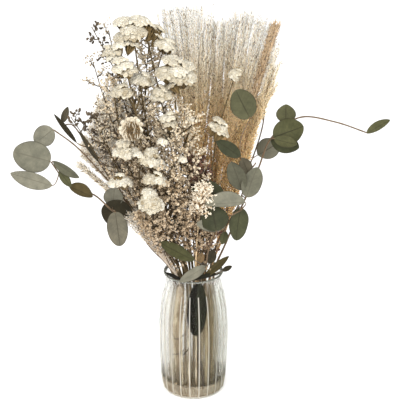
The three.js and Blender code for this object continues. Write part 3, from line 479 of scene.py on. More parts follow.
def circle(around, radius, height, ruffle=0.0, lobes=5, lift=0.0, phase=0.0):
    turn = np.arange(around) / around * fullTurn
    beat = np.cos(lobes * turn + phase)
    reach = radius * (1 + ruffle * beat)
    return together(reach * np.cos(turn), reach * np.sin(turn), height + lift * beat)


def spikeletShape():
    # four faces are enough for a bristle
    points = np.vstack([circle(3, 1, 0.1), [[0.35, 0, 1]]])
    return points, [np.array([[2, 1, 0], [0, 1, 3], [1, 2, 3], [2, 0, 3]])]


def statice(phase):
    # a papery funnel with a broad ruffled rim
    rings = [circle(8, 0.22, 0.06), circle(8, 1.0, 0.95, 0.12, 4, 0.08, phase),
             circle(8, 0.42, 0.86, 0.06, 4, 0.02, phase)]
    return ringShape(rings, (0, 0, 0.78), (0, 0, 0))


twig = ringShape([circle(3, 1, 0)], (0, 0, 1.04), (0, 0, -0.02))
spikelet = spikeletShape()
bud = ringShape([circle(5, 0.75, 0.25), circle(5, 1, 0.8), circle(5, 0.7, 1.4)], (0, 0, 1.75), (0, 0, 0))
floret = ringShape([circle(5, 1, 1.15)], (0, 0, 0.75), (0, 0, 0))  # a tiny open cup
bract = ringShape([circle(6, 0.5, 0.05), circle(6, 1, 0.5), circle(6, 0.75, 0.85)], (0, 0, 1), (0, 0, 0))
staticeFlowers = [statice(phase) for phase in (0.0, 1.3, 2.4)]


# lines of the stems
bunch = {"neck": 200.0, "spreadAcross": 50.0, "spreadDeep": 70.0, "leanLeft": 0.12,
         "footSpread": 1.1, "lowSpread": 1.18, "lowHeight": 105.0, "floor": 17.3, "rise": 400}


def inBunch(wide, deep, height):
    rise = height - bunch["neck"]
    return [wide * (1 + rise / bunch["spreadAcross"]) - bunch["leanLeft"] * rise,
            deep * (1 + rise / bunch["spreadDeep"]), height]


def neckPlaceOf(point):
    rise = point[2] - bunch["neck"]
    return ((point[0] + bunch["leanLeft"] * rise) / (1 + rise / bunch["spreadAcross"]),
            point[1] / (1 + rise / bunch["spreadDeep"]))


def onTheWay(slot, tip, part):
    # a point part of the way from a slot in the neck to a tip
    wide, deep = neckPlaceOf(tip)
    height = bunch["neck"] + (tip[2] - bunch["neck"]) * part
    return inBunch(slot[0] + (wide - slot[0]) * part, slot[1] + (deep - slot[1]) * part, height)


def smoothLine(points, perSpan=12):
    points = np.asarray(points, float)
    points = np.vstack([2 * points[0] - points[1], points, 2 * points[-1] - points[-2]])
    line = []
    for a, b, c, d in zip(points, points[1:], points[2:], points[3:]):
        before, during, after = (math.sqrt(np.linalg.norm(q - p)) for p, q in ((a, b), (b, c), (c, d)))
        leave = ((b - a) / before - (c - a) / (before + during) + (c - b) / during) * during
        arrive = ((c - b) / during - (d - b) / (during + after) + (d - c) / after) * during
        t = (np.arange(perSpan) / perSpan)[:, None]
        bend, twist = 3 * (c - b) - 2 * leave - arrive, 2 * (b - c) + leave + arrive
        line.append(b + leave * t + bend * t ** 2 + twist * t ** 3)
    return np.vstack(line + [points[-2:-1]])


def stemLine(plant):
    slot = plant["slot"]
    foot = [part * bunch["footSpread"] for part in slot] + [bunch["floor"]]
    low = [part * bunch["lowSpread"] for part in slot] + [bunch["lowHeight"]]
    points = [*plant.get("inVase", [foot, low]), [*slot, bunch["neck"]]]
    if "via" in plant:
        points += plant["via"]
    else:
        points += [onTheWay(slot, plant["tip"], part) for part in (0.25, 0.5, 0.75, 1)]
    return smoothLine(points)


def reachOf(line):
    return np.concatenate([[0], np.cumsum(np.linalg.norm(np.diff(line, axis=0), axis=1))])


def placesAt(line, reach, wanted):
    return np.stack([np.interp(wanted, reach, line[:, axis]) for axis in range(3)], -1)


def evenLine(line, step):
    reach = reachOf(line)
    count = max(2, round(reach[-1] / step))
    return placesAt(line, reach, np.linspace(0, reach[-1], count + 1))


def pointAlong(line, part):
    reach = reachOf(line)
    return placesAt(line, reach, np.asarray(part, float) * reach[-1])


def nearestOn(lines, wanted):
    points = np.vstack([evenLine(line, 2) for line in lines])
    return points[np.linalg.norm(points - np.asarray(wanted, float), axis=1).argmin()]


def bow(start, middle, end, count):
    t = np.linspace(0, 1, count)[:, None]
    return start * (1 - t) ** 2 + middle * 2 * t * (1 - t) + end * t ** 2


def bentLine(start, end, arrive, amount=0.35, count=6):
    start, end = np.asarray(start, float), np.asarray(end, float)
    return bow(start, end - unit(arrive) * amount * np.linalg.norm(end - start), end, count)


def riseOf(points):
    # how far up the bunch a place lies, from 0 at the neck to 1 near the top
    return (points[..., 2] - bunch["neck"]) / bunch["rise"]


# eucalyptus
tones = {"black": 0.0, "deepGreen": 0.12, "moss": 0.24, "greyGreen": 0.36, "silver": 0.48, "dusk": 0.60,
         "bark": 0.72, "ochre": 0.86, "tan": 1.0}


def leaf(start, base, tip, width, tone, **form):
    # its stalk leaves the stem at the start, and its blade reaches from base to tip
    return {"from": start, "base": base, "tip": tip, "width": width, "tone": tones.get(tone, tone), **form}


eucalyptus = [
    {"node": "eucalyptus_upper_left", "slot": [-32, -6],
     "via": [[-66, -20, 255], [-98, -25, 325], [-139, -20, 376], [-175, -12, 414], [-207, -10, 439]],
     "leaves": [
         leaf([-205, -10, 438], [-208, -10, 440], [-235, -18, 421], 32, "silver", ends=0.5)]},
    {"node": "eucalyptus_lower_left", "slot": [-28, -18],
     "via": [[-67, -45, 267], [-88, -60, 311], [-118, -65, 331], [-146, -60, 355], [-183, -55, 367],
             [-195, -50, 381], [-209, -45, 401]],
     "leaves": [
         leaf([-208, -45, 400], [-210, -45, 402], [-262, -58, 422], 46, "silver", ends=0.46),
         leaf([-197, -50, 386], [-207, -64, 371], [-265, -78, 396], 27, "silver", halves=[0.8, 1]),
         leaf([-207, -46, 400], [-205, -52, 405], [-165, -78, 389], 17, "greyGreen", halves=[1, 0.6]),
         leaf([-194, -50, 380], [-196, -60, 393], [-177, -82, 376], 13, "moss"),
         leaf([-183, -55, 367], [-182, -61, 369], [-146, -84, 361], 25, "ochre", halves=[0.5, 1]),
         leaf([-118, -64, 332], [-120, -43, 331], [-117, -43, 360], 30, "silver", ends=0.5),
         leaf([-88, -60, 311], [-92, -50, 312], [-136, -50, 330], 42, "bark", ends=0.5),
         leaf([-118, -65, 331], [-114, -80, 336], [-107, -100, 290], 31, "dusk", ends=0.46)]},
    {"node": "eucalyptus_inner_right", "slot": [25, -17],
     "via": [[35, -32, 259], [51, -44, 300], [68, -50, 335], [74, -52, 358], [81, -52, 385],
             [93, -45, 400]],
     "twigs": [[[81, -52, 385], [70, -50, 409], [71, -44, 440], [83, -40, 466]]],
     "leaves": [
         leaf([83, -40, 465], [83, -40, 468], [62, -46, 512], 39, "moss", face=[0.1, -1, 0.3], ends=0.5),
         leaf([70, -50, 409], [70, -52, 412], [34, -58, 439], 21, "deepGreen"),
         leaf([74, -52, 358], [72, -59, 362], [56, -68, 410], 29, "greyGreen", ends=0.55,
              face=[-0.3, -1, 0.2]),
         leaf([81, -52, 385], [82, -56, 386], [72, -56, 412], 20, "dusk"),
         leaf([72, -51, 350], [79, -62, 352], [95, -56, 397], 32, "greyGreen", ends=0.55,
              face=[0.25, -1, 0.1])]},
    {"node": "eucalyptus_front_right", "slot": [18, -29],
     "via": [[20, -44, 233], [22, -62, 262], [28, -80, 290], [49, -85, 327], [71, -80, 339]],
     "leaves": [
         leaf([69, -80, 338], [76, -92, 356], [18, -112, 361], 36, "silver", halves=[1, 0.3]),
         leaf([30, -80, 293], [34, -110, 318], [28, -94, 352], 43, "deepGreen", hollow=-0.22),
         leaf([68, -81, 338], [71, -72, 339], [64, -84, 292], 31, 0.17, ends=0.52, face=[0.4, -1, 0.1]),
         leaf([49, -85, 327], [46, -78, 362], [-3, -86, 374], 34, "deepGreen", halves=[1, 0.7]),
         leaf([40, -83, 310], [49, -68, 300], [43, -76, 282], 12, "moss"),
         leaf([19, -42, 229], [24, -42, 235], [31, -46, 260], 16, "bark"),
         leaf([38, -82, 308], [47, -96, 320], [5, -98, 325], 21, "silver")]},
    {"node": "eucalyptus_at_rim", "slot": [11, -34.5], "thick": 2.6,
     "inVase": [[15, -39, 17.3], [14, -39, 45], [9, -40, 80], [8, -38, 130]],
     "via": [[12, -40, 222], [15, -46, 240]],
     "twigs": [[[11, -36, 205], [28, -43, 216], [44, -47, 225]]],
     "leaves": [
         leaf([15, -45, 238], [21, -52, 236], [-21, -63, 214], 17, "silver", face=[-0.2, -1, 0.5]),
         leaf([16, -38, 209], [18, -43, 214], [54, -56, 254], 12, "ochre", hollow=0.25),
         leaf([43, -47, 224.5], [44, -47, 225], [59, -51, 235], 8, "bark"),
         leaf([12, -40, 221], [7, -46, 236], [15, -52, 258], 11, "tan"),
         leaf([14, -44, 234], [2, -64, 251], [-50, -84, 290], 22, "moss", face=[0.2, -1, 0.9]),
         leaf([11, -34.5, 204], [8, -36.4, 201], [4, -44, 112], 31, "black", halves=[1, 1], hollow=-0.16,
              bow=0, belly=1.2, ends=0.38, rightTone=0.03),
         # two thin black strips at the rim darken the band under the lip, partly dark leaves and partly
         # painted shade
         leaf([11, -36, 205], [-13, -48, 209.5], [43, -45, 221], 7, "black", bow=0),
         leaf([11, -36, 205], [-17, -48, 210], [-43, -39, 219], 6, "black", bow=0)]},
    {"node": "eucalyptus_far_right", "slot": [32, -4],
     "via": [[50, -2, 251], [78, 2, 320], [98, 4, 370], [118, 0, 424], [159, -2, 456], [211, -5, 450],
             [259, -8, 434]],
     "leaves": [
         leaf([130, -1, 438], [139, 6, 444], [139, 12, 472], 30, "moss"),
         leaf([118, 0, 424], [120, -5, 426], [164, -14, 446], 41, 0.21, face=[0, -1, 0.5], ends=0.55),
         leaf([117, 0, 421], [121, -12, 426], [154, -26, 422], 20, 0.23, face=[0, -1, 0.9]),
         leaf([116, 0, 420], [117, 8, 419], [160, 4, 406], 31, "deepGreen"),
         leaf([257, -8, 434], [259, -8, 433], [292, -14, 456], 17, "moss", halves=[0.6, 1])]},
    {"node": "eucalyptus_back_left", "slot": [-23, 25],
     "via": [[-50, 46, 250], [-80, 78, 306], [-100, 102, 350], [-109, 116, 384], [-112, 122, 410]],
     "rule": {"count": 4, "from": 0.46, "size": 42, "seed": 11}},
    {"node": "eucalyptus_back_right", "slot": [27, 20],
     "via": [[42, 36, 250], [70, 66, 310], [96, 96, 362], [110, 116, 404], [114, 128, 440]],
     "rule": {"count": 4, "from": 0.46, "size": 44, "seed": 12}},
    {"node": "eucalyptus_back_middle", "slot": [-6, 32],
     "via": [[-12, 52, 248], [-20, 88, 300], [-24, 118, 348], [-22, 138, 392]],
     "rule": {"count": 4, "from": 0.5, "size": 44, "seed": 13}},
]
narrowLeafStem = {
    "node": "narrow_leaf_stem", "slot": [-32, 5],
    "via": [[-82, 14, 277], [-127, 18, 350], [-157, 20, 397], [-184, 22, 437], [-194, 21, 436]],
    "leaves": [
        leaf([-160, 20, 402], [-176, 12, 411], [-208, 8, 458], 8, 0.7),
        leaf([-193, 21, 436], [-197, 21, 440], [-188, 22, 465], 11, 0.66, hollow=0.3),
        leaf([-116, 17, 331], [-143, 4, 383], [-171, 4, 432], 8, 0.66)]}

leafLook = {"rows": 22, "columns": 10, "thickness": 0.75, "wave": 0.03, "crease": 0.02, "midrib": 0.5,
            "belly": 0.92, "ends": 0.64, "hollow": 0.08, "bow": 0.05, "stalk": 0.95, "twig": 1.0, "stem": 1.9}


def seeded(seed):
    # the same draw as the frame's leaves were placed with
    state = seed

    def draw():
        nonlocal state
        state = (state + 0x6D2B79F5) & 0xFFFFFFFF
        mixed = ((state ^ (state >> 15)) * (1 | state)) & 0xFFFFFFFF
        mixed = ((mixed + (((mixed ^ (mixed >> 7)) * (61 | mixed)) & 0xFFFFFFFF)) ^ mixed) & 0xFFFFFFFF
        return (mixed ^ (mixed >> 14)) / 4294967296
    return draw


def turnAround(vector, angle):
    cos, sin = math.cos(angle), math.sin(angle)
    return np.array([vector[0] * cos - vector[1] * sin, vector[0] * sin + vector[1] * cos, vector[2]])


def leavesByRule(line, rule):
    draw = seeded(rule["seed"])
    leaves = []
    for i in range(rule["count"]):
        part = min(rule["from"] + (1 - rule["from"]) * (i + 0.5) / rule["count"], 0.995)
        start = pointAlong(line, part)
        outward = unit([start[0], start[1], 0])
        turn = i * goldenAngle + draw() * 0.5
        way = outward * (0.6 + 0.3 * math.cos(turn)) + turnAround(outward, math.pi / 2) * math.sin(turn)
        way = unit(way + upward * (0.5 + 0.5 * draw()))
        length = rule["size"] * (0.8 + 0.3 * draw())
        base = start + way * 10
        leaves.append(leaf(start, base, base + way * length, length * 0.82, 0.2 + 0.06 * i,
                           face=outward + 0.4 * upward))
    return leaves


def addLeaf(pile, form, draw):
    look = {**leafLook, **form}
    base, tip = np.array(form["base"], float), np.array(form["tip"], float)
    length = tip - base
    side = unit(np.cross(form.get("face", towardViewer), length))
    normal = unit(np.cross(length, side))
    reach, width = np.linalg.norm(length), form["width"]
    rows, columns = leafLook["rows"], leafLook["columns"]
    u = (1 - np.cos(math.pi * np.linspace(0, 1, rows + 1))) / 2
    v = np.sin(math.pi / 2 * np.linspace(-1, 1, columns + 1))
    u, v = np.meshgrid(u, v, indexing="ij")
    rounding = np.sin(math.pi * u ** look["belly"]).clip(0) ** look["ends"]
    halves = form.get("halves", (1, 1))
    half = np.maximum(width / 2 * rounding * np.where(v < 0, halves[0], halves[1]), 0.3)
    lift = look["hollow"] * width * v ** 2 * rounding - look["bow"] * reach * 4 * u * (1 - u)
    ripple = np.sin(2 * math.pi * (1.6 * u + draw.random()))
    lift += look["wave"] * width * ripple * np.abs(v) ** 3 * rounding
    lift -= look["crease"] * width * np.exp(-(v / 0.16) ** 2) * rounding
    middle = base + u[..., None] * length + side * (v * half)[..., None] + normal * lift[..., None]
    thick = look["thickness"] * (1 - 0.55 * np.abs(v) ** 4) / 2
    rib = look["midrib"] * np.exp(-(v / 0.10) ** 2) * (1 - 0.8 * u)
    front = middle + normal * thick[..., None]
    back = middle - normal * (thick + rib)[..., None]
    points = np.concatenate([front.reshape(-1, 3), back.reshape(-1, 3)])
    count = len(points) // 2
    grid = np.arange(count).reshape(rows + 1, columns + 1)
    face = together(grid[:-1, :-1], grid[:-1, 1:], grid[1:, 1:], grid[1:, :-1]).reshape(-1, 4)
    edge = np.concatenate([grid[0, :-1], grid[:-1, -1], grid[-1, :0:-1], grid[:0:-1, 0]])
    after = np.roll(edge, -1)
    rim = together(edge, edge + count, after + count, after)
    tone = np.clip(form["tone"] + 0.02 * draw.standard_normal(), 0, 1)
    tone = np.tile(np.where(v < 0, tone, form.get("rightTone", tone)).ravel(), 2)
    addTo(pile, points, [face[:, ::-1], face + count, rim[:, ::-1]], tone,
          np.tile(u.ravel(), 2), np.tile(np.abs(v).ravel(), 2), [0, 1, 1])
    return length


def leafyStem(plant, finishes, seed):
    draw = np.random.default_rng(seed)
    line = stemLine(plant)
    lines = [line]
    pile = newPile()
    stem = evenLine(line, 5)
    knots = 1 + 0.12 * (np.arange(len(stem)) % 6 == 0)
    thick = plant.get("thick", leafLook["stem"])
    addTube(pile, stem, np.linspace(thick, 1.0, len(stem)) * knots, 8, 0.45, None, 2)
    for points in plant.get("twigs", []):
        branch = smoothLine([nearestOn(lines, points[0])] + points[1:])
        lines.append(branch)
        addTube(pile, evenLine(branch, 4), leafLook["twig"], 7, 0.5, None, 2)
    for form in plant.get("leaves") or leavesByRule(line, plant["rule"]):
        root = nearestOn(lines, form["from"])
        length = addLeaf(pile, form, draw)
        end = np.array(form["base"], float) + unit(length) * 1.5
        stalk = bentLine(root, end, length, 0.35, 7)
        addTube(pile, stalk, np.linspace(leafLook["stalk"], 0.6, 7), 6, 0.6, None, 2)
    makePiece(plant["node"], pile, finishes)


# white statice heads and their forking stems
def headAt(node, centre, axis, radius, brown=False):
    return {"node": node, "centre": centre, "axis": axis, "radius": radius, "brown": brown}


staticePlants = [
    {"node": "statice_top_left", "slot": [-11, 5], "heads": [
        headAt("head_top_left", [-90, -8, 586], [-0.3, -0.5, 1], 25),
        headAt("head_left_edge", [-116, -18, 560], [-0.9, -0.5, 0.6], 15)]},
    {"node": "statice_top_middle", "slot": [-1, 5], "heads": [
        headAt("head_top_middle", [-60, 6, 584], [0.5, 0.3, 1], 18, True),
        headAt("head_beside_plume", [-41, 0, 566], [0.3, -0.5, 1], 13)]},
    {"node": "statice_middle", "slot": [0, -7], "tufts": [[-4, -62, 472]], "heads": [
        headAt("head_big_middle", [-24, -40, 536], [0.2, -0.6, 1], 27),
        headAt("head_under_big", [-46, -44, 506], [-0.4, -0.9, 0.6], 14),
        headAt("head_low_middle", [-34, -70, 477], [0, -0.8, 0.8], 11)]},
    {"node": "statice_column", "slot": [-11, -7], "heads": [
        headAt("head_column_top", [-98, -44, 546], [-0.3, -0.8, 1], 16),
        headAt("head_column_low", [-101, -52, 512], [-0.5, -1, 0.7], 14),
        headAt("head_middle_column", [-72, -30, 524], [0, -0.8, 0.8], 13)]},
    {"node": "statice_left", "slot": [-17, -18], "tufts": [[-78, -92, 429]], "heads": [
        headAt("head_left_middle", [-97, -80, 432], [-0.3, -1, 0.6], 15),
        headAt("head_left_low", [-108, -86, 388], [-0.4, -1, 0.4], 14)]},
    {"node": "everlasting", "slot": [-6, -19], "tufts": [[-44, -84, 446], [-15, -88, 420]], "heads": [
        headAt("everlasting_head", [-84, -88, 466], [-0.2, -1, 0.35], 17),
        headAt("head_centre", [-58, -92, 420], [0.1, -1, 0.5], 15)]},
    {"node": "statice_front", "slot": [-6, -31], "heads": [
        headAt("head_front", [-60, -116, 366], [0, -1, 0.6], 20),
        headAt("head_front_green", [-54, -104, 396], [0.2, -0.9, 1], 12)]},
    {"node": "statice_right", "slot": [10, -8], "heads": [
        headAt("head_right", [38, -54, 456], [0.2, -1, 0.5], 16, True),
        headAt("tuft_on_plume", [62, -8, 524], [0.2, -0.8, 1], 8)]},
    {"node": "statice_back", "slot": [7, 31], "heads": [
        headAt("head_back_left", [-26, 120, 470], [-0.2, 1, 0.7], 20),
        headAt("head_back_right", [38, 130, 430], [0.2, 1, 0.6], 18)]},
]
headLook = {"seat": 2.0, "calyx": 0.75, "flatness": 0.72, "flower": 3.9, "perPad": 15, "pad": 0.32,
            "padBase": 3.9, "padHeight": 0.85, "knotBelow": 1.45, "knotBelowBrown": 1.6, "tuft": 5.5,
            "tuftKnotBelow": 1.15, "paintedEdgeShade": 0.5, "turned": (0.0, -0.10, 0.90),
            "turnedBrown": (0.5, 0.5, 0.9), "asideEach": 4, "asideSize": 0.75, "calyxWidth": 1.35,
            "stem": 1.9, "stemTop": 1.1, "sideStem": 1.15, "sideStemTop": 0.9}


def domePlaces(radius, count, lean, first=0.5):
    i = np.arange(count) + first
    tilt = np.arccos(1 - i / count * (1 - math.cos(lean)))
    turn = i * goldenAngle
    out = together(np.sin(tilt) * np.cos(turn), np.sin(tilt) * np.sin(turn), np.cos(tilt))
    return out * [radius, radius, radius * headLook["flatness"]], out


def headAxes(axis):
    out = unit(axis)
    side = unit(np.cross(out, (0.3, 0.9, 0.2)))
    return np.stack([side, np.cross(out, side), out])


def addTuft(pile, centre, lean, size, draw, flowers, brown, knotBelow):
    # a flat pad of papery funnels on one knot of long calyces
    axes = headAxes(lean)
    number = max(8, round(headLook["perPad"] * (size / 9) ** 2))
    cap, ways = domePlaces(size, number, 1.1)
    edge = np.hypot(cap[:, 0], cap[:, 1]) / size
    cap *= [1 + 0.25 * draw.random(), 1, headLook["padHeight"]]
    mouths = centre + (cap + 0.3 * draw.standard_normal((number, 3))) @ axes
    aims = unit((ways * [0.6, 0.6, 1]) @ axes + 0.08 * draw.standard_normal((number, 3)))
    sizes = headLook["flower"] * (0.85 + 0.3 * draw.random(number))
    bases = mouths - aims * sizes[:, None] * 0.9
    kinds = draw.integers(0, len(staticeFlowers), number)
    tone = 0.45 + 0.5 * draw.random()
    for kind, shape in enumerate(staticeFlowers):
        own = kinds == kind
        spins = draw.random(own.sum()) * 6.3
        # painted shade: each pad's outer funnels are darkened, for the slits between pads
        tints = tone + 0.12 * draw.standard_normal(own.sum()) - headLook["paintedEdgeShade"] * edge[own] ** 4
        addCopies(pile, shape, bases[own], aims[own], sizes[own, None], spins, tints, 0.5, flowers)
    knot = centre - unit(lean) * size * knotBelow
    ways = bases - knot
    wide = headLook["calyxWidth"]
    sizes = together(wide, wide, np.linalg.norm(ways, axis=1) * 0.6)
    addCopies(pile, bud, np.repeat(knot[None], number, 0), ways, sizes, 0, draw.random(number), 0.5, brown)
    return knot


def staticeHead(head, finishes, seed):
    # a few flat pads in tiers make up one head, with brown calyces showing below each of them
    draw = np.random.default_rng(seed)
    pile = newPile()
    look, radius = headLook, head["radius"]
    kind = "Brown" if head["brown"] else ""
    axes = headAxes(head["axis"])
    centre = np.array(head["centre"], float)
    apex = centre - axes[2] * (look["seat"] + look["calyx"] * radius * 0.9)
    padRadius = look["padBase"] + look["pad"] * radius
    count = max(3, round(1.65 * (radius / padRadius) ** 2 + 0.6))
    pads, outs = domePlaces(radius - 0.5 * padRadius, count, 1.3, 0)
    facing = headAxes(np.array(head["axis"]) * [1, 2.2, 0.5])
    pads = centre - facing[2] * 0.25 * radius + (pads + 1.5 * draw.standard_normal((count, 3))) @ facing
    leans = 0.30 * (outs @ facing) + 0.35 * axes[2] + np.array(look["turned" + kind])
    leans = unit(leans + 0.12 * draw.standard_normal((count, 3)))
    for number, (pad, lean) in enumerate(zip(pads, leans)):
        size = padRadius * (0.92 + 0.35 * draw.random())
        if number % look["asideEach"] == 2:
            # here and there a pad is turned aside and shows its brown calyces
            size *= look["asideSize"]
            lean = unit(lean + [0.5 * draw.standard_normal(), 0.55, 0.2])
        knot = addTuft(pile, pad, lean, size, draw, 0, 1, look["knotBelow" + kind])
        addTube(pile, bentLine(apex, knot + lean, lean, 0.3, 5), 0.7, 5, 0.5, None, 1)
    inner = int(radius * 2)
    places, outs = domePlaces(radius * 0.55, inner, 1.5)
    addCopies(pile, bud, centre + places @ axes * 0.5, outs @ axes, (1.5, 1.5, radius * 0.2), 0,
              draw.random(inner), 0.5, 1)
    makePiece(head["node"], pile, finishes)


# rows of papery bracts, each a share of the head's radius, a lean outwards and a length
everlastingLook = {"rows": [(0.95, 1.2, 9), (0.86, 0.9, 9), (0.76, 0.6, 8), (0.66, 0.4, 7)], "perRow": 15,
                   "middle": 420, "middleShare": 0.64, "bristle": (0.9, 0.9, 4.0), "aside": -3}


def everlastingHead(head, finishes, seed):
    draw = np.random.default_rng(seed)
    pile = newPile()
    look, radius = everlastingLook, head["radius"]
    axes = headAxes(head["axis"])
    centre = np.array(head["centre"], float) + [look["aside"], 0, 0]
    # overlapping papery bracts open outwards round a brown middle that has burst to one side
    for row, (part, lean, length) in enumerate(look["rows"]):
        count = look["perRow"] - row
        turn = (np.arange(count) + 0.5 * row + 0.5 * draw.random(count)) / count * fullTurn
        ring = compass(turn)
        base = (ring * (part * radius - 6) + [0, 0, 1 + 1.5 * row]) @ axes + centre
        lean = lean * (0.75 + 0.5 * draw.random((count, 1)))
        aim = (ring * np.sin(lean) + [0, 0, 1] * np.cos(lean)) @ axes
        sizes = together(3.2 + 2 * draw.random(count), 0.5, length * (0.7 + 0.5 * draw.random(count)))
        aim = aim + 0.15 * draw.standard_normal((count, 3))
        addCopies(pile, bract, base, aim, sizes, math.pi / 2, draw.random(count), 0.5, 0)
    count = look["middle"]
    places, outs = domePlaces(look["middleShare"] * radius, count, 1.5)
    places = centre + [2.0, 0, -1.5] + (places + [0, 0, 4]) @ axes
    aims = outs @ axes + 0.4 * draw.standard_normal((count, 3))
    addCopies(pile, spikelet, places, aims, look["bristle"], 0, draw.random(count), 0.5, 1)
    apex = centre - axes[2] * (headLook["seat"] + 0.3 * radius)
    core = np.linspace(apex, centre + axes[2] * 4, 6)
    addTube(pile, core, np.array([2, 4, 6, 7.5, 8.5, 7]), 14, 0.4, None, 1)
    makePiece(head["node"], pile, finishes)


def bottomOf(head, above=0):
    drop = headLook["seat"] + headLook["calyx"] * head["radius"] - above
    return np.array(head["centre"]) - unit(head["axis"]) * drop


def sideStem(pile, line, bottom, out):
    # leaves the main stem below its end and bends out to it
    points = pointAlong(line, np.linspace(0, 1, 121))
    away = np.hypot(bottom[0] - points[:, 0], bottom[1] - points[:, 1])
    start = points[np.nonzero(points[:, 2] < bottom[2] - 0.9 * away - 25)[0][-1]]
    fork = bentLine(start, bottom + out * 1.5, out, 0.35, 16)
    addTube(pile, fork, np.linspace(headLook["sideStem"], headLook["sideStemTop"], 16), 6, 0.45, None, 0)


def staticeStem(plant, finishes, seed):
    draw = np.random.default_rng(seed)
    pile = newPile()
    line = stemLine({"slot": plant["slot"], "tip": list(bottomOf(plant["heads"][0], 1.5))})
    addStem(pile, line, headLook["stem"], headLook["stemTop"], 7, 0.4, 0)
    for centre in plant.get("tufts", []):
        out = unit((0, -0.6, 1))
        centre = np.array(centre, float)
        knot = addTuft(pile, centre, out, headLook["tuft"], draw, 2, 1, headLook["tuftKnotBelow"])
        sideStem(pile, line, knot, out)
    for number, head in enumerate(plant["heads"]):
        bottom = bottomOf(head)
        if number:
            sideStem(pile, line, bottom, unit(head["axis"]))
        # bracts clasp the stem below the head
        axes = headAxes(head["axis"])
        count = int(5 + head["radius"] * 0.7)
        ring = compass(np.arange(count) * goldenAngle)
        rise = np.linspace(0, 0.6 * head["radius"] * headLook["calyx"], count)
        wide = rise / (headLook["calyx"] * head["radius"]) * 0.5 * head["radius"]
        base = bottom + (ring * (0.6 + wide[:, None]) + rise[:, None] * upward) @ axes
        sizes = together(1.5, 0.5, 4 + 2 * draw.random(count))
        addCopies(pile, bud, base, (ring * 0.55 + upward) @ axes, sizes, 0, draw.random(count), 0.5, 1)
    makePiece(plant["node"], pile, finishes)


# silver grass plumes
plumes = [
    {"node": "plume_left_of_fan", "slot": [8, 4], "tips": [[-46, 26, 612], [18, 46, 614]],
     "racemes": 46, "seed": 21},
    {"node": "plume_mid_left", "slot": [5, 17], "tips": [[-14, 56, 606], [54, 66, 578]],
     "racemes": 42, "seed": 22},
    {"node": "plume_middle", "slot": [16, 17], "tips": [[28, 62, 580], [94, 54, 604]],
     "racemes": 42, "seed": 23},
    {"node": "plume_right", "slot": [18, 5], "tips": [[66, 36, 606], [129, 26, 594]],
     "racemes": 46, "bandFrom": 0.76, "seed": 24},
    {"node": "plume_low_right", "slot": [27, 6], "tips": [[120, 14, 580], [70, 8, 436]], "bulge": [21, 0, -7],
     "racemes": 50, "seed": 25},
    {"node": "plume_back_left", "slot": [-28, 15], "tips": [[-174, 48, 357], [-108, 72, 498]],
     "bulge": [-11, 0, 11], "racemes": 63, "pale": True, "bristle": 1.45, "seed": 26},
    {"node": "plume_low_left", "slot": [-22, -27], "tips": [[-96, -76, 328], [-66, -84, 338]],
     "racemes": 26, "pale": True, "bare": True, "seed": 27},
]
plumeLook = {"stemShare": 0.8, "lowest": 0.09, "spacing": 3.5, "spikelet": 6.4, "fray": 12, "dark": 0.07,
             "darkBelow": 0.16, "short": 0.5, "bandEnd": 0.80, "bandForward": 8, "bandFade": 0.14,
             "deep": 7, "deepest": 13, "astray": 3.5, "thin": 0.62, "thinInBand": 0.85, "thick": 0.5,
             "firstBristle": 3, "strands": 4, "light": 0.2, "lighter": 0.45, "lightFrom": 0.6,
             "lightOver": 0.3}
barePlumeLook = {**plumeLook, "lowest": 0.02, "thick": 0.95, "firstBristle": 18}  # no bristles low down
sheathLook = {"aside": (-2.6, 2.6), "from": 26, "fromSpread": 20, "to": 188, "spacing": 12, "flat": 0.16}


def addSheaths(pile, line, draw):
    # dry leaf blades hug the stem inside the vase
    look = sheathLook
    for aside in look["aside"]:
        lowest = look["from"] + look["fromSpread"] * draw.random()
        inside = evenLine(line[(line[:, 2] > lowest) & (line[:, 2] < look["to"])], look["spacing"])
        blade = inside + [aside, 1.5 * draw.standard_normal(), 0]
        blade[:, 0] += 1.2 * np.sin(inside[:, 2] / 31 + 6 * draw.random())
        width = 1.2 + 2.4 * np.sin(math.pi * (0.12 + 0.8 * np.linspace(0, 1, len(blade))))
        addTube(pile, blade, width, 8, 0.2 + 0.6 * draw.random(), 0.95, 1, look["flat"])


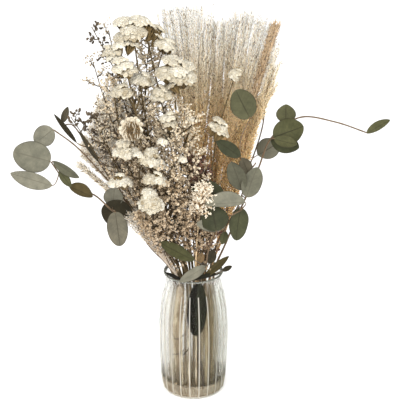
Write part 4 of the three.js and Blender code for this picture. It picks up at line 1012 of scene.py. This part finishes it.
def plume(plant, finishes):
    draw = np.random.default_rng(plant["seed"])
    pile = newPile()
    look = barePlumeLook if "bare" in plant else plumeLook
    left, right = (np.array(tip, float) for tip in plant["tips"])
    root = np.array([*plant["slot"], bunch["neck"]], float)
    tip = root + look["stemShare"] * ((left + right) / 2 - root)
    line = stemLine({"slot": plant["slot"], "tip": list(tip)})
    stem = addStem(pile, line, 2.0, 1.0, 7, 0.2, 1, (0, 0.5))
    addSheaths(pile, line, draw)
    emerging = line[line[:, 2] >= bunch["neck"]]
    ahead = unit(stem[-1] - stem[-8])
    bulge = np.array(plant.get("bulge", (0, 0, 0)))
    coarse = plant.get("bristle", 1)
    racemes = plant["racemes"]
    for i in range(racemes + int(look["short"] * racemes)):
        part = (i + 0.5) / racemes * 2 - 1 if i < racemes else 1.5 * draw.random() - 0.75
        low = look["lowest"]
        start = pointAlong(emerging, low + (0.99 - low) * (1 - abs(part)) * (0.9 + 0.1 * draw.random()))
        share = (part + 1) / 2
        end = left + (right - left) * share + bulge * 4 * share * (1 - share)
        if i >= racemes:
            # a short one fills the fan's inside
            end = start + (end - start) * (0.35 + 0.4 * draw.random())
        reach = np.linalg.norm(end - start)
        deep = np.clip(look["deep"] * draw.standard_normal(), -look["deepest"], look["deepest"])
        banded = share > plant.get("bandFrom", 2) + 0.04 * math.sin(2.4 * i)
        end = end + [look["astray"] * draw.standard_normal(), deep - look["bandForward"] * banded,
                     -look["fray"] * draw.random() ** 2]
        bend = start + (end - start) * 0.4 + ahead * 0.12 * reach
        count = max(7, int(reach / 13))
        raceme = bow(start, bend, end, count)
        sway = np.sin(math.pi * np.linspace(0, 1, count) * (1 + 2 * draw.random()))[:, None]
        raceme += sway * [1.6 * draw.standard_normal(), 2.0 * draw.standard_normal(), 0]
        addTube(pile, raceme, np.linspace(look["thick"], 0.25, count), 4, 0.4, riseOf(raceme), 1)
        fine = evenLine(raceme, look["spacing"])[look["firstBristle"]:]
        if len(fine) < 3:
            continue
        heading, across, behind = framesAlong(fine)
        number = len(fine)
        rise = riseOf(fine)
        low = (1 - rise).clip(0, 1)
        dark = look["dark"] + look["darkBelow"] * low.clip(0, 0.6)
        light = look["light"] + look["lighter"] * ((rise - look["lightFrom"]) / look["lightOver"]).clip(0, 1)
        thinnest = look["thinInBand"] if banded else look["thin"]
        for strand in range(look["strands"]):
            turn = draw.random(number) * 1.5 + strand * math.pi / 2
            out = across * np.cos(turn)[:, None] + behind * np.sin(turn)[:, None]
            aim = heading + out * (0.35 + 0.45 * draw.random((number, 1)) + 0.3 * low[:, None])
            size = look["spikelet"] * (0.7 + 0.5 * draw.random(number)) * coarse
            thin = thinnest * (0.8 + 0.5 * draw.random(number)) * coarse
            tint = np.where(draw.random(number) < dark, 0.0, light + (1 - light) * draw.random(number))
            places = fine + out * 0.4 + 0.5 * draw.standard_normal((number, 3))
            sizes = together(thin, thin, size)
            # the brown band fades out downwards
            brown = banded & (rise + look["bandFade"] * tint > look["bandEnd"])
            for own, finish in ((~brown, 0), (brown, 2)):
                addCopies(pile, spikelet, places[own], aim[own], sizes[own], turn[own], tint[own],
                          rise[own], finish)
    makePiece(plant["node"], pile, finishes)


# sprays of sea lavender, buds and rice flower
lavenders = [
    {"node": "lavender_front_left", "slot": [-16, -30], "tip": [-64, -98, 336], "reach": 38, "seed": 51,
     "tendrils": [[[-15.6, -29.2, 106], [-22, -39, 105], [-28, -39, 104], [-33, -35, 111]],
                  [[-15.5, -28.9, 72], [-15, -40, 77], [-6, -42, 92], [-8, -41, 112]],
                  [[-15.5, -29, 79], [-24, -40, 78], [-33, -35, 75]]]},
    {"node": "lavender_front_middle", "slot": [4, -19], "tip": [-16, -66, 482], "fork": [-46, -30, 490],
     "reach": 54, "seed": 52},
    {"node": "lavender_centre", "slot": [-11, -25], "tip": [-32, -100, 410], "fork": [-86, -64, 440],
     "reach": 48, "tone": 0.12, "seed": 53},
    {"node": "lavender_right_low", "slot": [11, -27], "tip": [-2, -84, 352], "reach": 40, "tone": 0.15,
     "seed": 54},
    {"node": "lavender_left", "slot": [-22, -12], "tip": [-140, -36, 452], "fork": [-118, -20, 520],
     "reach": 46, "sparse": 0.35, "forkShare": 0.4, "seed": 55},
    {"node": "lavender_tall_left", "slot": [-17, 18], "tip": [-124, 24, 582], "fork": [-66, 34, 556],
     "reach": 46, "sparse": 0.5, "forkShare": 1.0, "seed": 56},
    {"node": "lavender_left_tip", "slot": [-21, 6], "tip": [-147, 4, 540], "reach": 46, "sparse": 0.5,
     "seed": 57},
    {"node": "lavender_back", "slot": [-17, 30], "tip": [-84, 112, 440], "reach": 52, "seed": 58},
    {"node": "lavender_back_right", "slot": [18, 30], "tip": [70, 106, 452], "reach": 52, "seed": 59},
]
budSprays = [
    {"node": "buds_left", "slot": [-25, -2], "tip": [-182, 0, 456], "fork": [-146, -8, 462], "reach": 34,
     "forkShare": 0.4, "seed": 61},
    {"node": "buds_top_left", "slot": [-6, 17], "tip": [-148, 14, 590], "reach": 22, "sparse": 0.6,
     "seed": 62},
    {"node": "buds_pink", "slot": [15, -19], "tip": [6, -58, 412], "reach": 30, "lowest": 0.10, "seed": 63},
]
riceFlower = {"node": "rice_flower", "slot": [4, -32], "tip": [16, -106, 384], "reach": 23, "seed": 71,
              "inFront": True}

sprayLook = {"stem": 1.8, "fork": 1.3, "stemTip": 0.7, "branch": 1.1, "branchTip": 0.4, "twig": 0.32,
             "forkShare": 0.7, "longest": 1.05, "shorten": 0.6, "climb": 0.75, "spread": 0.8, "tone": 0.3,
             "sparseTone": 0.2, "sparseFlorets": 3, "sparseSize": 0.85}
lavenderLook = {**sprayLook, "lowest": 0.20, "branches": 38, "twigs": 8, "twigLength": 13, "florets": 7,
                "floret": 1.75, "shape": floret, "wide": 1.0, "long": 1.0, "slot": "floret"}
budLook = {**sprayLook, "lowest": 0.42, "branches": 30, "twigs": 4, "twigLength": 8, "florets": 3,
           "floret": 2.5, "shape": bud, "wide": 0.7, "long": 1.5, "slot": "bud"}
riceLook = {**sprayLook, "lowest": 0.74, "branches": 26, "twigs": 6, "twigLength": 9, "florets": 6,
            "floret": 1.4, "shape": bud, "wide": 0.62, "long": 1.3, "slot": "rice"}
scraps = {"count": 16, "from": 118, "to": 196}
lookDown = math.radians(view["tiltDown"])
shields = []
sight = {"leafShare": 0.5, "leafEnds": 0.7, "leafEdge": 1.0, "headShare": 0.85, "before": 3}
openSpace = {"rim": 207, "slope": 0.25, "slopeTo": 40, "left": -30, "widening": 0.72, "widensFrom": 240,
             "bloomFrom": 240, "bloomOver": 190, "bloomShare": 0.4}


def faced(points):
    # places as seen from the front, a little from above, with their depth last
    points = np.asarray(points, float)
    rise = points[..., 2] * math.cos(lookDown) + points[..., 1] * math.sin(lookDown)
    depth = points[..., 1] * math.cos(lookDown) - points[..., 2] * math.sin(lookDown)
    return points[..., 0], rise, depth


def keepInSight():
    # leaves and heads at the front that no floret is to stand before
    for plant in eucalyptus:
        for form in plant.get("leaves", []):
            for part in (0.2, 0.4, 0.6, 0.8):
                spot = np.array(form["base"]) * (1 - part) + np.array(form["tip"]) * part
                rounding = math.sin(math.pi * part) ** sight["leafEnds"]
                reach = sight["leafShare"] * form["width"] * rounding + sight["leafEdge"]
                shields.append((*faced(spot), reach))
    for plant in staticePlants:
        for head in plant["heads"]:
            shields.append((*faced(head["centre"]), head["radius"] * sight["headShare"]))


def isInSight(points):
    wide, rise, depth = faced(points)
    free = np.ones(wide.shape, bool)
    for x, z, y, radius in shields:
        free &= (np.hypot(wide - x, rise - z) > radius) | (depth > y + sight["before"])
    return free


def outOfVase(points):
    # nothing but stems goes below the rim, and the bunch widens evenly from it to the left
    look = openSpace
    away = np.hypot(points[..., 0], points[..., 1]).clip(0, look["slopeTo"])
    widened = (points[..., 2] - look["widensFrom"]).clip(0)
    overRim = points[..., 2] > look["rim"] + look["slope"] * away
    return overRim & (points[..., 0] > look["left"] - look["widening"] * widened)


def forkLine(plant):
    # a fork leaves its spray's stem above the neck and fans out to a tip of its own
    return smoothLine([onTheWay(plant["slot"], plant["tip" if part == 0.25 else "fork"], part)
                       for part in (0.25, 0.5, 0.75, 1)])


def addScraps(pile, line, draw):
    # dry scraps of leaf cling to a stem just below the rim; their dark finish darkens the band under the lip,
    # partly dark contents and partly painted shade
    below = line[(line[:, 2] > scraps["from"]) & (line[:, 2] < scraps["to"])]
    count = scraps["count"]
    places = pointAlong(below, draw.random(count) ** 0.6)
    turn = draw.random(count) * fullTurn
    aims = together(0.28 * np.cos(turn), 0.28 * np.sin(turn), np.where(draw.random(count) < 0.5, 1, -1))
    sizes = together(0.7 + 0.5 * draw.random(count), 0.45, 2.5 + 2.5 * draw.random(count))
    addCopies(pile, bud, places, aims, sizes, turn, draw.random(count), 0.5, 2)


def spray(plant, look, finishes):
    def isFree(points):
        return outOfVase(points) & (isInSight(points) | plant.get("inFront", False))

    draw = np.random.default_rng(plant["seed"])
    pile = newPile()
    for points in plant.get("tendrils", []):
        curl = smoothLine(points, 8)
        addTube(pile, curl, np.linspace(1.1, 0.5, len(curl)), 6, 0.05, None, 2)
    lines = [stemLine(plant)] + ([forkLine(plant)] if "fork" in plant else [])
    addScraps(pile, lines[0], draw)
    for number, line in enumerate(lines):
        addStem(pile, line, look["fork" if number else "stem"], look["stemTip"], 6, 0.4, 1)
        emerging = line[line[:, 2] >= bunch["neck"]]
        sparse = 0 if number else plant.get("sparse", 0)
        share = plant.get("forkShare", look["forkShare"]) if number else 1
        branches = round(look["branches"] * share * (sparse or 1))
        for i in range(branches):
            place = (i + 0.5) / branches
            lowest = plant.get("lowest", look["lowest"])
            part = lowest + (0.995 - lowest) * place
            start = pointAlong(emerging, part)
            heading = unit(pointAlong(emerging, min(1, part + 0.01)) - pointAlong(emerging, part - 0.01))
            side = unit(np.cross(heading, slanted))
            turn = i * goldenAngle
            out = side * math.cos(turn) + np.cross(heading, side) * math.sin(turn)
            # branches are shorter towards the tip, and just above the neck
            shorter = look["longest"] - look["shorten"] * place
            length = plant["reach"] * shorter * (0.75 + 0.4 * draw.random())
            length *= min(1, 0.45 + 1.6 * part)
            end = start + unit(look["climb"] * heading + look["spread"] * out) * length
            branch = bentLine(start, end, heading + 0.35 * out, 0.4, 9)
            branch[1:-1] += 0.5 * draw.standard_normal((7, 3))
            seen = isFree(branch)
            reached = len(branch) if seen.all() else int(np.argmin(seen))
            if reached < 4:
                continue
            branch = branch[:reached]
            addTube(pile, branch, np.linspace(look["branch"], look["branchTip"], reached), 4, 0.15, None, 1)
            # twigs go round the branch
            count = max(3, round(look["twigs"] * reached / 9))
            roots = pointAlong(branch, np.linspace(0.25, 1, count))
            way = unit(branch[-1] - start)
            across = unit(np.cross(way, (0.2, 0.5, 0.9)))
            deep = np.cross(way, across)
            spin = np.arange(count) * 2.2 + draw.random() * 6
            outs = across * np.cos(spin)[:, None] + deep * np.sin(spin)[:, None]
            ways = unit(0.75 * way + 0.85 * outs + 0.2 * draw.standard_normal((count, 3)))
            lengths = look["twigLength"] * (0.7 + 0.5 * draw.random(count)) * np.linspace(1, 0.75, count)
            clear = isFree(roots + ways * lengths[:, None])
            roots, ways, lengths, outs = roots[clear], ways[clear], lengths[clear], outs[clear]
            count = len(roots)
            if count == 0:
                continue
            sizes = together(look["twig"], look["twig"], lengths)
            addCopies(pile, twig, roots, ways, sizes, 0, draw.random(count), 0.5, 1)
            # florets line each twig and thin out towards the neck
            perTwig = look["sparseFlorets" if sparse else "florets"]
            steps = lengths[:, None] * np.linspace(0.2, 1, perTwig)
            places = roots[:, None] + ways[:, None] * steps[..., None]
            lift = ways[:, None] * 0.8 + outs[:, None] * 0.4 + 0.6 * draw.standard_normal((count, perTwig, 3))
            lift = unit(lift).reshape(-1, 3)
            places = (places + 0.5 * draw.standard_normal(places.shape)).reshape(-1, 3)
            size = look["floret"] * (0.7 + 0.6 * draw.random(count * perTwig))
            size *= look["sparseSize"] if sparse else 1
            sizes = together(size * look["wide"], size * look["wide"], size * look["long"])
            tone = look["sparseTone"] if sparse else plant.get("tone", look["tone"])
            tone += 0.4 * draw.random()
            tints = tone + 0.25 * draw.standard_normal(count * perTwig)
            bloom = openSpace["bloomShare"] + (places[:, 2] - openSpace["bloomFrom"]) / openSpace["bloomOver"]
            keep = isFree(places) & (draw.random(len(places)) < bloom)
            spins = draw.random(keep.sum()) * 6.3
            addCopies(pile, look["shape"], places[keep], lift[keep], sizes[keep], spins, tints[keep],
                      riseOf(places[keep]), 0)
    makePiece(plant["node"], pile, finishes)


# the ribbed glass vase, with its profile as pairs of radius and height
glassVase = {"flutes": 22, "aroundEach": 9, "ridgeTurn": -6.4, "ridgeTop": 178, "fluteDepth": 1.1,
             "ridge": 0.20, "height": 205.0, "wall": 3.6, "lipFrom": 201.5, "baseTo": 21,
             "outside": [(49.3, 5), (51.6, 20), (54.2, 70), (54.7, 112), (50.6, 158), (44.8, 181),
                         (42.7, 193)],
             "foot": [(0, 1.2), (30, 1.2), (38, 0.2), (41, 0.0), (44.5, 0.3), (47.2, 1.8), (48.7, 3.6)],
             "lip": [(46.6, 203.6), (46.3, 204.6), (45.2, 205), (43.6, 204.6), (42.5, 203.4)],
             "bowl": [(47.4, 23.5), (45.5, 19.3), (42, 17.4), (36, 17.0), (20, 17.0), (0, 17.0)]}


def ribbedVase(finishes):
    look = glassVase
    outline = np.array([(43.0, 0.0)] + look["outside"] + [(46.2, 202.5)], float)
    fine = smoothLine(np.column_stack([outline, np.zeros(len(outline))])[1:], 8)[:, :2]
    inner = fine[::-1].copy()
    inner[:, 0] -= look["wall"]
    inner = inner[(inner[:, 1] > 27) & (inner[:, 1] < 202)][::2]
    profile = np.vstack([look["foot"], fine, look["lip"], inner, look["bowl"]])
    footRows = len(look["foot"])
    outer = footRows + len(fine)
    around = look["flutes"] * look["aroundEach"]
    turn = (np.arange(around) + 0.5) / around * fullTurn + math.radians(look["ridgeTurn"])
    phase = (np.arange(around) % look["aroundEach"] + 0.5) / look["aroundEach"]
    valley = 1 - np.exp(-(np.minimum(phase, 1 - phase) / look["ridge"]) ** 2)
    points = []
    for row, (radius, level) in enumerate(profile):
        fade = min(1, (look["height"] - level) / 12, 0.6 + level / 12) if 3 <= row < outer else 0
        reach = radius - look["fluteDepth"] * fade * valley
        points.append(together(reach * np.sin(turn), -reach * np.cos(turn), level))
    points = np.concatenate([points[0][:1]] + points[1:-1] + [points[-1][:1]])
    bands = len(profile) - 3
    quads = ringFaces(bands + 1, around, 1)
    last = 1 + bands * around
    # the faces along each ridge and round the foot have a finish of their own, pale cream and frosted, which
    # paints light along the ridges and round the foot
    row, place = np.divmod(np.arange(len(quads)), around)
    level = profile[1:, 1][row]
    crest = phase[place] > 1 - 0.8 / look["aroundEach"]
    onRidge = crest & (row < outer) & (level < look["ridgeTop"]) | (row < footRows - 1)
    # the lip's own finish is greyed with painted shade
    onLip = level > look["lipFrom"]
    onBase = ~onRidge & (level < look["baseTo"])
    clear = ~onRidge & ~onLip & ~onBase
    pile = newPile()
    addTo(pile, points, [quads[clear], quads[onRidge], quads[onLip], quads[onBase],
                         fanFaces(0, 1, around, True), fanFaces(last + around, last, around)],
          finish=[0, 1, 2, 3, 3, 3])
    makePiece("vase", pile, finishes)


# dry finishes: shades from dark to light, and for some a second scale that runs up the plant
bristleShades = [(0.08, (0.20, 0.15, 0.10)), (0.20, (0.74, 0.68, 0.58)), (0.65, (0.98, 0.95, 0.88)),
                 (0.9, (1.0, 0.98, 0.93))]
dryLooks = {
    "leafStalk": {"shades": [(0.2, (0.085, 0.060, 0.040)), (0.8, (0.19, 0.125, 0.070))], "roughness": 0.6,
                  "bleached": True},
    "greyStalk": {"shades": [(0.2, (0.070, 0.058, 0.044)), (0.8, (0.15, 0.125, 0.095))], "roughness": 0.6},
    "staticePaper": {"shades": [(0, (0.22, 0.165, 0.09)), (0.35, (0.46, 0.41, 0.31)),
                                (1, (0.74, 0.70, 0.595))],
                     "roughness": 0.8, "grainScale": 300, "relief": 0.0002, "patches": (0.92, 1.04),
                     "glow": 0.3},
    "staticeCalyx": {"shades": [(0, (0.060, 0.042, 0.016)), (1, (0.19, 0.130, 0.056))], "roughness": 0.8},
    "staticeStem": {"shades": [(0.2, (0.060, 0.042, 0.020)), (0.8, (0.17, 0.12, 0.055))], "roughness": 0.7,
                    "bleached": True},
    "everlastingBract": {"shades": [(0, (0.46, 0.39, 0.28)), (1, (0.70, 0.64, 0.52))], "roughness": 0.6},
    "everlastingMiddle": {"shades": [(0, (0.10, 0.065, 0.03)), (1, (0.34, 0.235, 0.12))], "roughness": 0.8},
    "plumeSpikelet": {"shades": bristleShades, "grainScale": 160, "relief": 0.0002, "sheen": 0.05,
                      "patches": (0.97, 1.07), "glow": 0.8, "alongShades": [
                          (0.20, (0.84, 0.49, 0.22)), (0.50, (0.94, 0.60, 0.29)), (0.66, (0.92, 0.67, 0.38)),
                          (0.80, (0.90, 0.79, 0.60)), (0.90, (1.0, 0.96, 0.87)), (0.99, (1.0, 1.0, 0.98))]},
    "palePlumeSpikelet": {"shades": bristleShades, "grainScale": 160, "relief": 0.0003, "sheen": 0.05,
                          "patches": (0.9, 1.05), "glow": 0.6,
                          "alongShades": [(0.2, (0.90, 0.80, 0.68)), (0.8, (1.0, 0.95, 0.86))]},
    "plumeStem": {"shades": [(0.2, (0.70, 0.58, 0.42)), (0.8, (0.86, 0.76, 0.60))], "roughness": 0.6,
                  "bleached": True, "alongShades": [
                      (0.0, (0.52, 0.40, 0.28)), (0.4, (0.78, 0.60, 0.40)), (0.8, (0.96, 0.88, 0.74))]},
    "palePlumeStem": {"shades": [(0.2, (0.46, 0.38, 0.30)), (0.8, (0.72, 0.63, 0.53))], "roughness": 0.6,
                      "bleached": True},
    "plumeBrownEdge": {"shades": [(0, (0.12, 0.08, 0.04)), (0.25, (0.34, 0.22, 0.12)),
                                  (0.6, (0.50, 0.35, 0.21)), (1, (0.72, 0.56, 0.38))],
                       "roughness": 0.7, "grainScale": 160},
    "lavenderFloret": {"shades": [(0, (0.24, 0.17, 0.10)), (0.35, (0.60, 0.50, 0.36)),
                                  (1, (0.95, 0.88, 0.74))],
                       "roughness": 0.8, "grainScale": 240, "relief": 0.0003, "patches": (0.85, 1.08),
                       "alongShades": [(0.06, (0.40, 0.34, 0.28)), (0.22, (0.68, 0.60, 0.53)),
                                       (0.40, (0.84, 0.77, 0.69)), (0.62, (1.0, 0.98, 0.94))]},
    "lavenderStem": {"shades": [(0, (0.040, 0.029, 0.014)), (1, (0.15, 0.105, 0.052))], "roughness": 0.7,
                     "bleached": True},
    "darkBud": {"shades": [(0, (0.040, 0.031, 0.022)), (1, (0.14, 0.105, 0.07))], "roughness": 0.6},
    "redBrownBud": {"shades": [(0, (0.046, 0.024, 0.018)), (1, (0.19, 0.105, 0.075))], "roughness": 0.6},
    "riceFlowerBloom": {"shades": [(0, (0.40, 0.32, 0.22)), (0.45, (0.70, 0.62, 0.49)),
                                   (1, (0.86, 0.80, 0.68))], "roughness": 0.8},
}

# everything together
setCamera()
setStudio()
print("camera, floor and light are set")

leafFaces = [leafFinish("leafUpperFace", 0.0, 0.5), leafFinish("leafUnderside", 0.28, 0.65)]
dry = {name: dryFinish(name, **look) for name, look in dryLooks.items()}
glass = [glassFinish(name, **look) for name, look in glassLook.items()]
print("finishes are mixed")

keepInSight()
ribbedVase(glass)
for number, plant in enumerate(eucalyptus + [narrowLeafStem]):
    stalk = dry["greyStalk" if plant["node"] == "eucalyptus_at_rim" else "leafStalk"]
    leafyStem(plant, leafFaces + [stalk], 100 + number)
for number, plant in enumerate(staticePlants):
    staticeStem(plant, [dry["staticeStem"], dry["staticeCalyx"], dry["staticePaper"]], 200 + number)
    for index, top in enumerate(plant["heads"]):
        if top["node"] == "everlasting_head":
            everlastingHead(top, [dry["everlastingBract"], dry["everlastingMiddle"]], 300 + number)
        else:
            staticeHead(top, [dry["staticePaper"], dry["staticeCalyx"]], 300 + 2 * number + index)
for plant in plumes:
    if plant.get("pale"):
        plume(plant, [dry["palePlumeSpikelet"], dry["palePlumeStem"]])
    else:
        plume(plant, [dry["plumeSpikelet"], dry["plumeStem"], dry["plumeBrownEdge"]])
for plant in lavenders:
    spray(plant, lavenderLook, [dry["lavenderFloret"], dry["lavenderStem"], dry["darkBud"]])
for plant in budSprays:
    skin = dry["redBrownBud" if plant["node"] == "buds_pink" else "darkBud"]
    spray(plant, budLook, [skin, dry["lavenderStem"], dry["darkBud"]])
spray(riceFlower, riceLook, [dry["riceFlowerBloom"], dry["plumeStem"], dry["darkBud"]])
print("the bunch is in the vase")
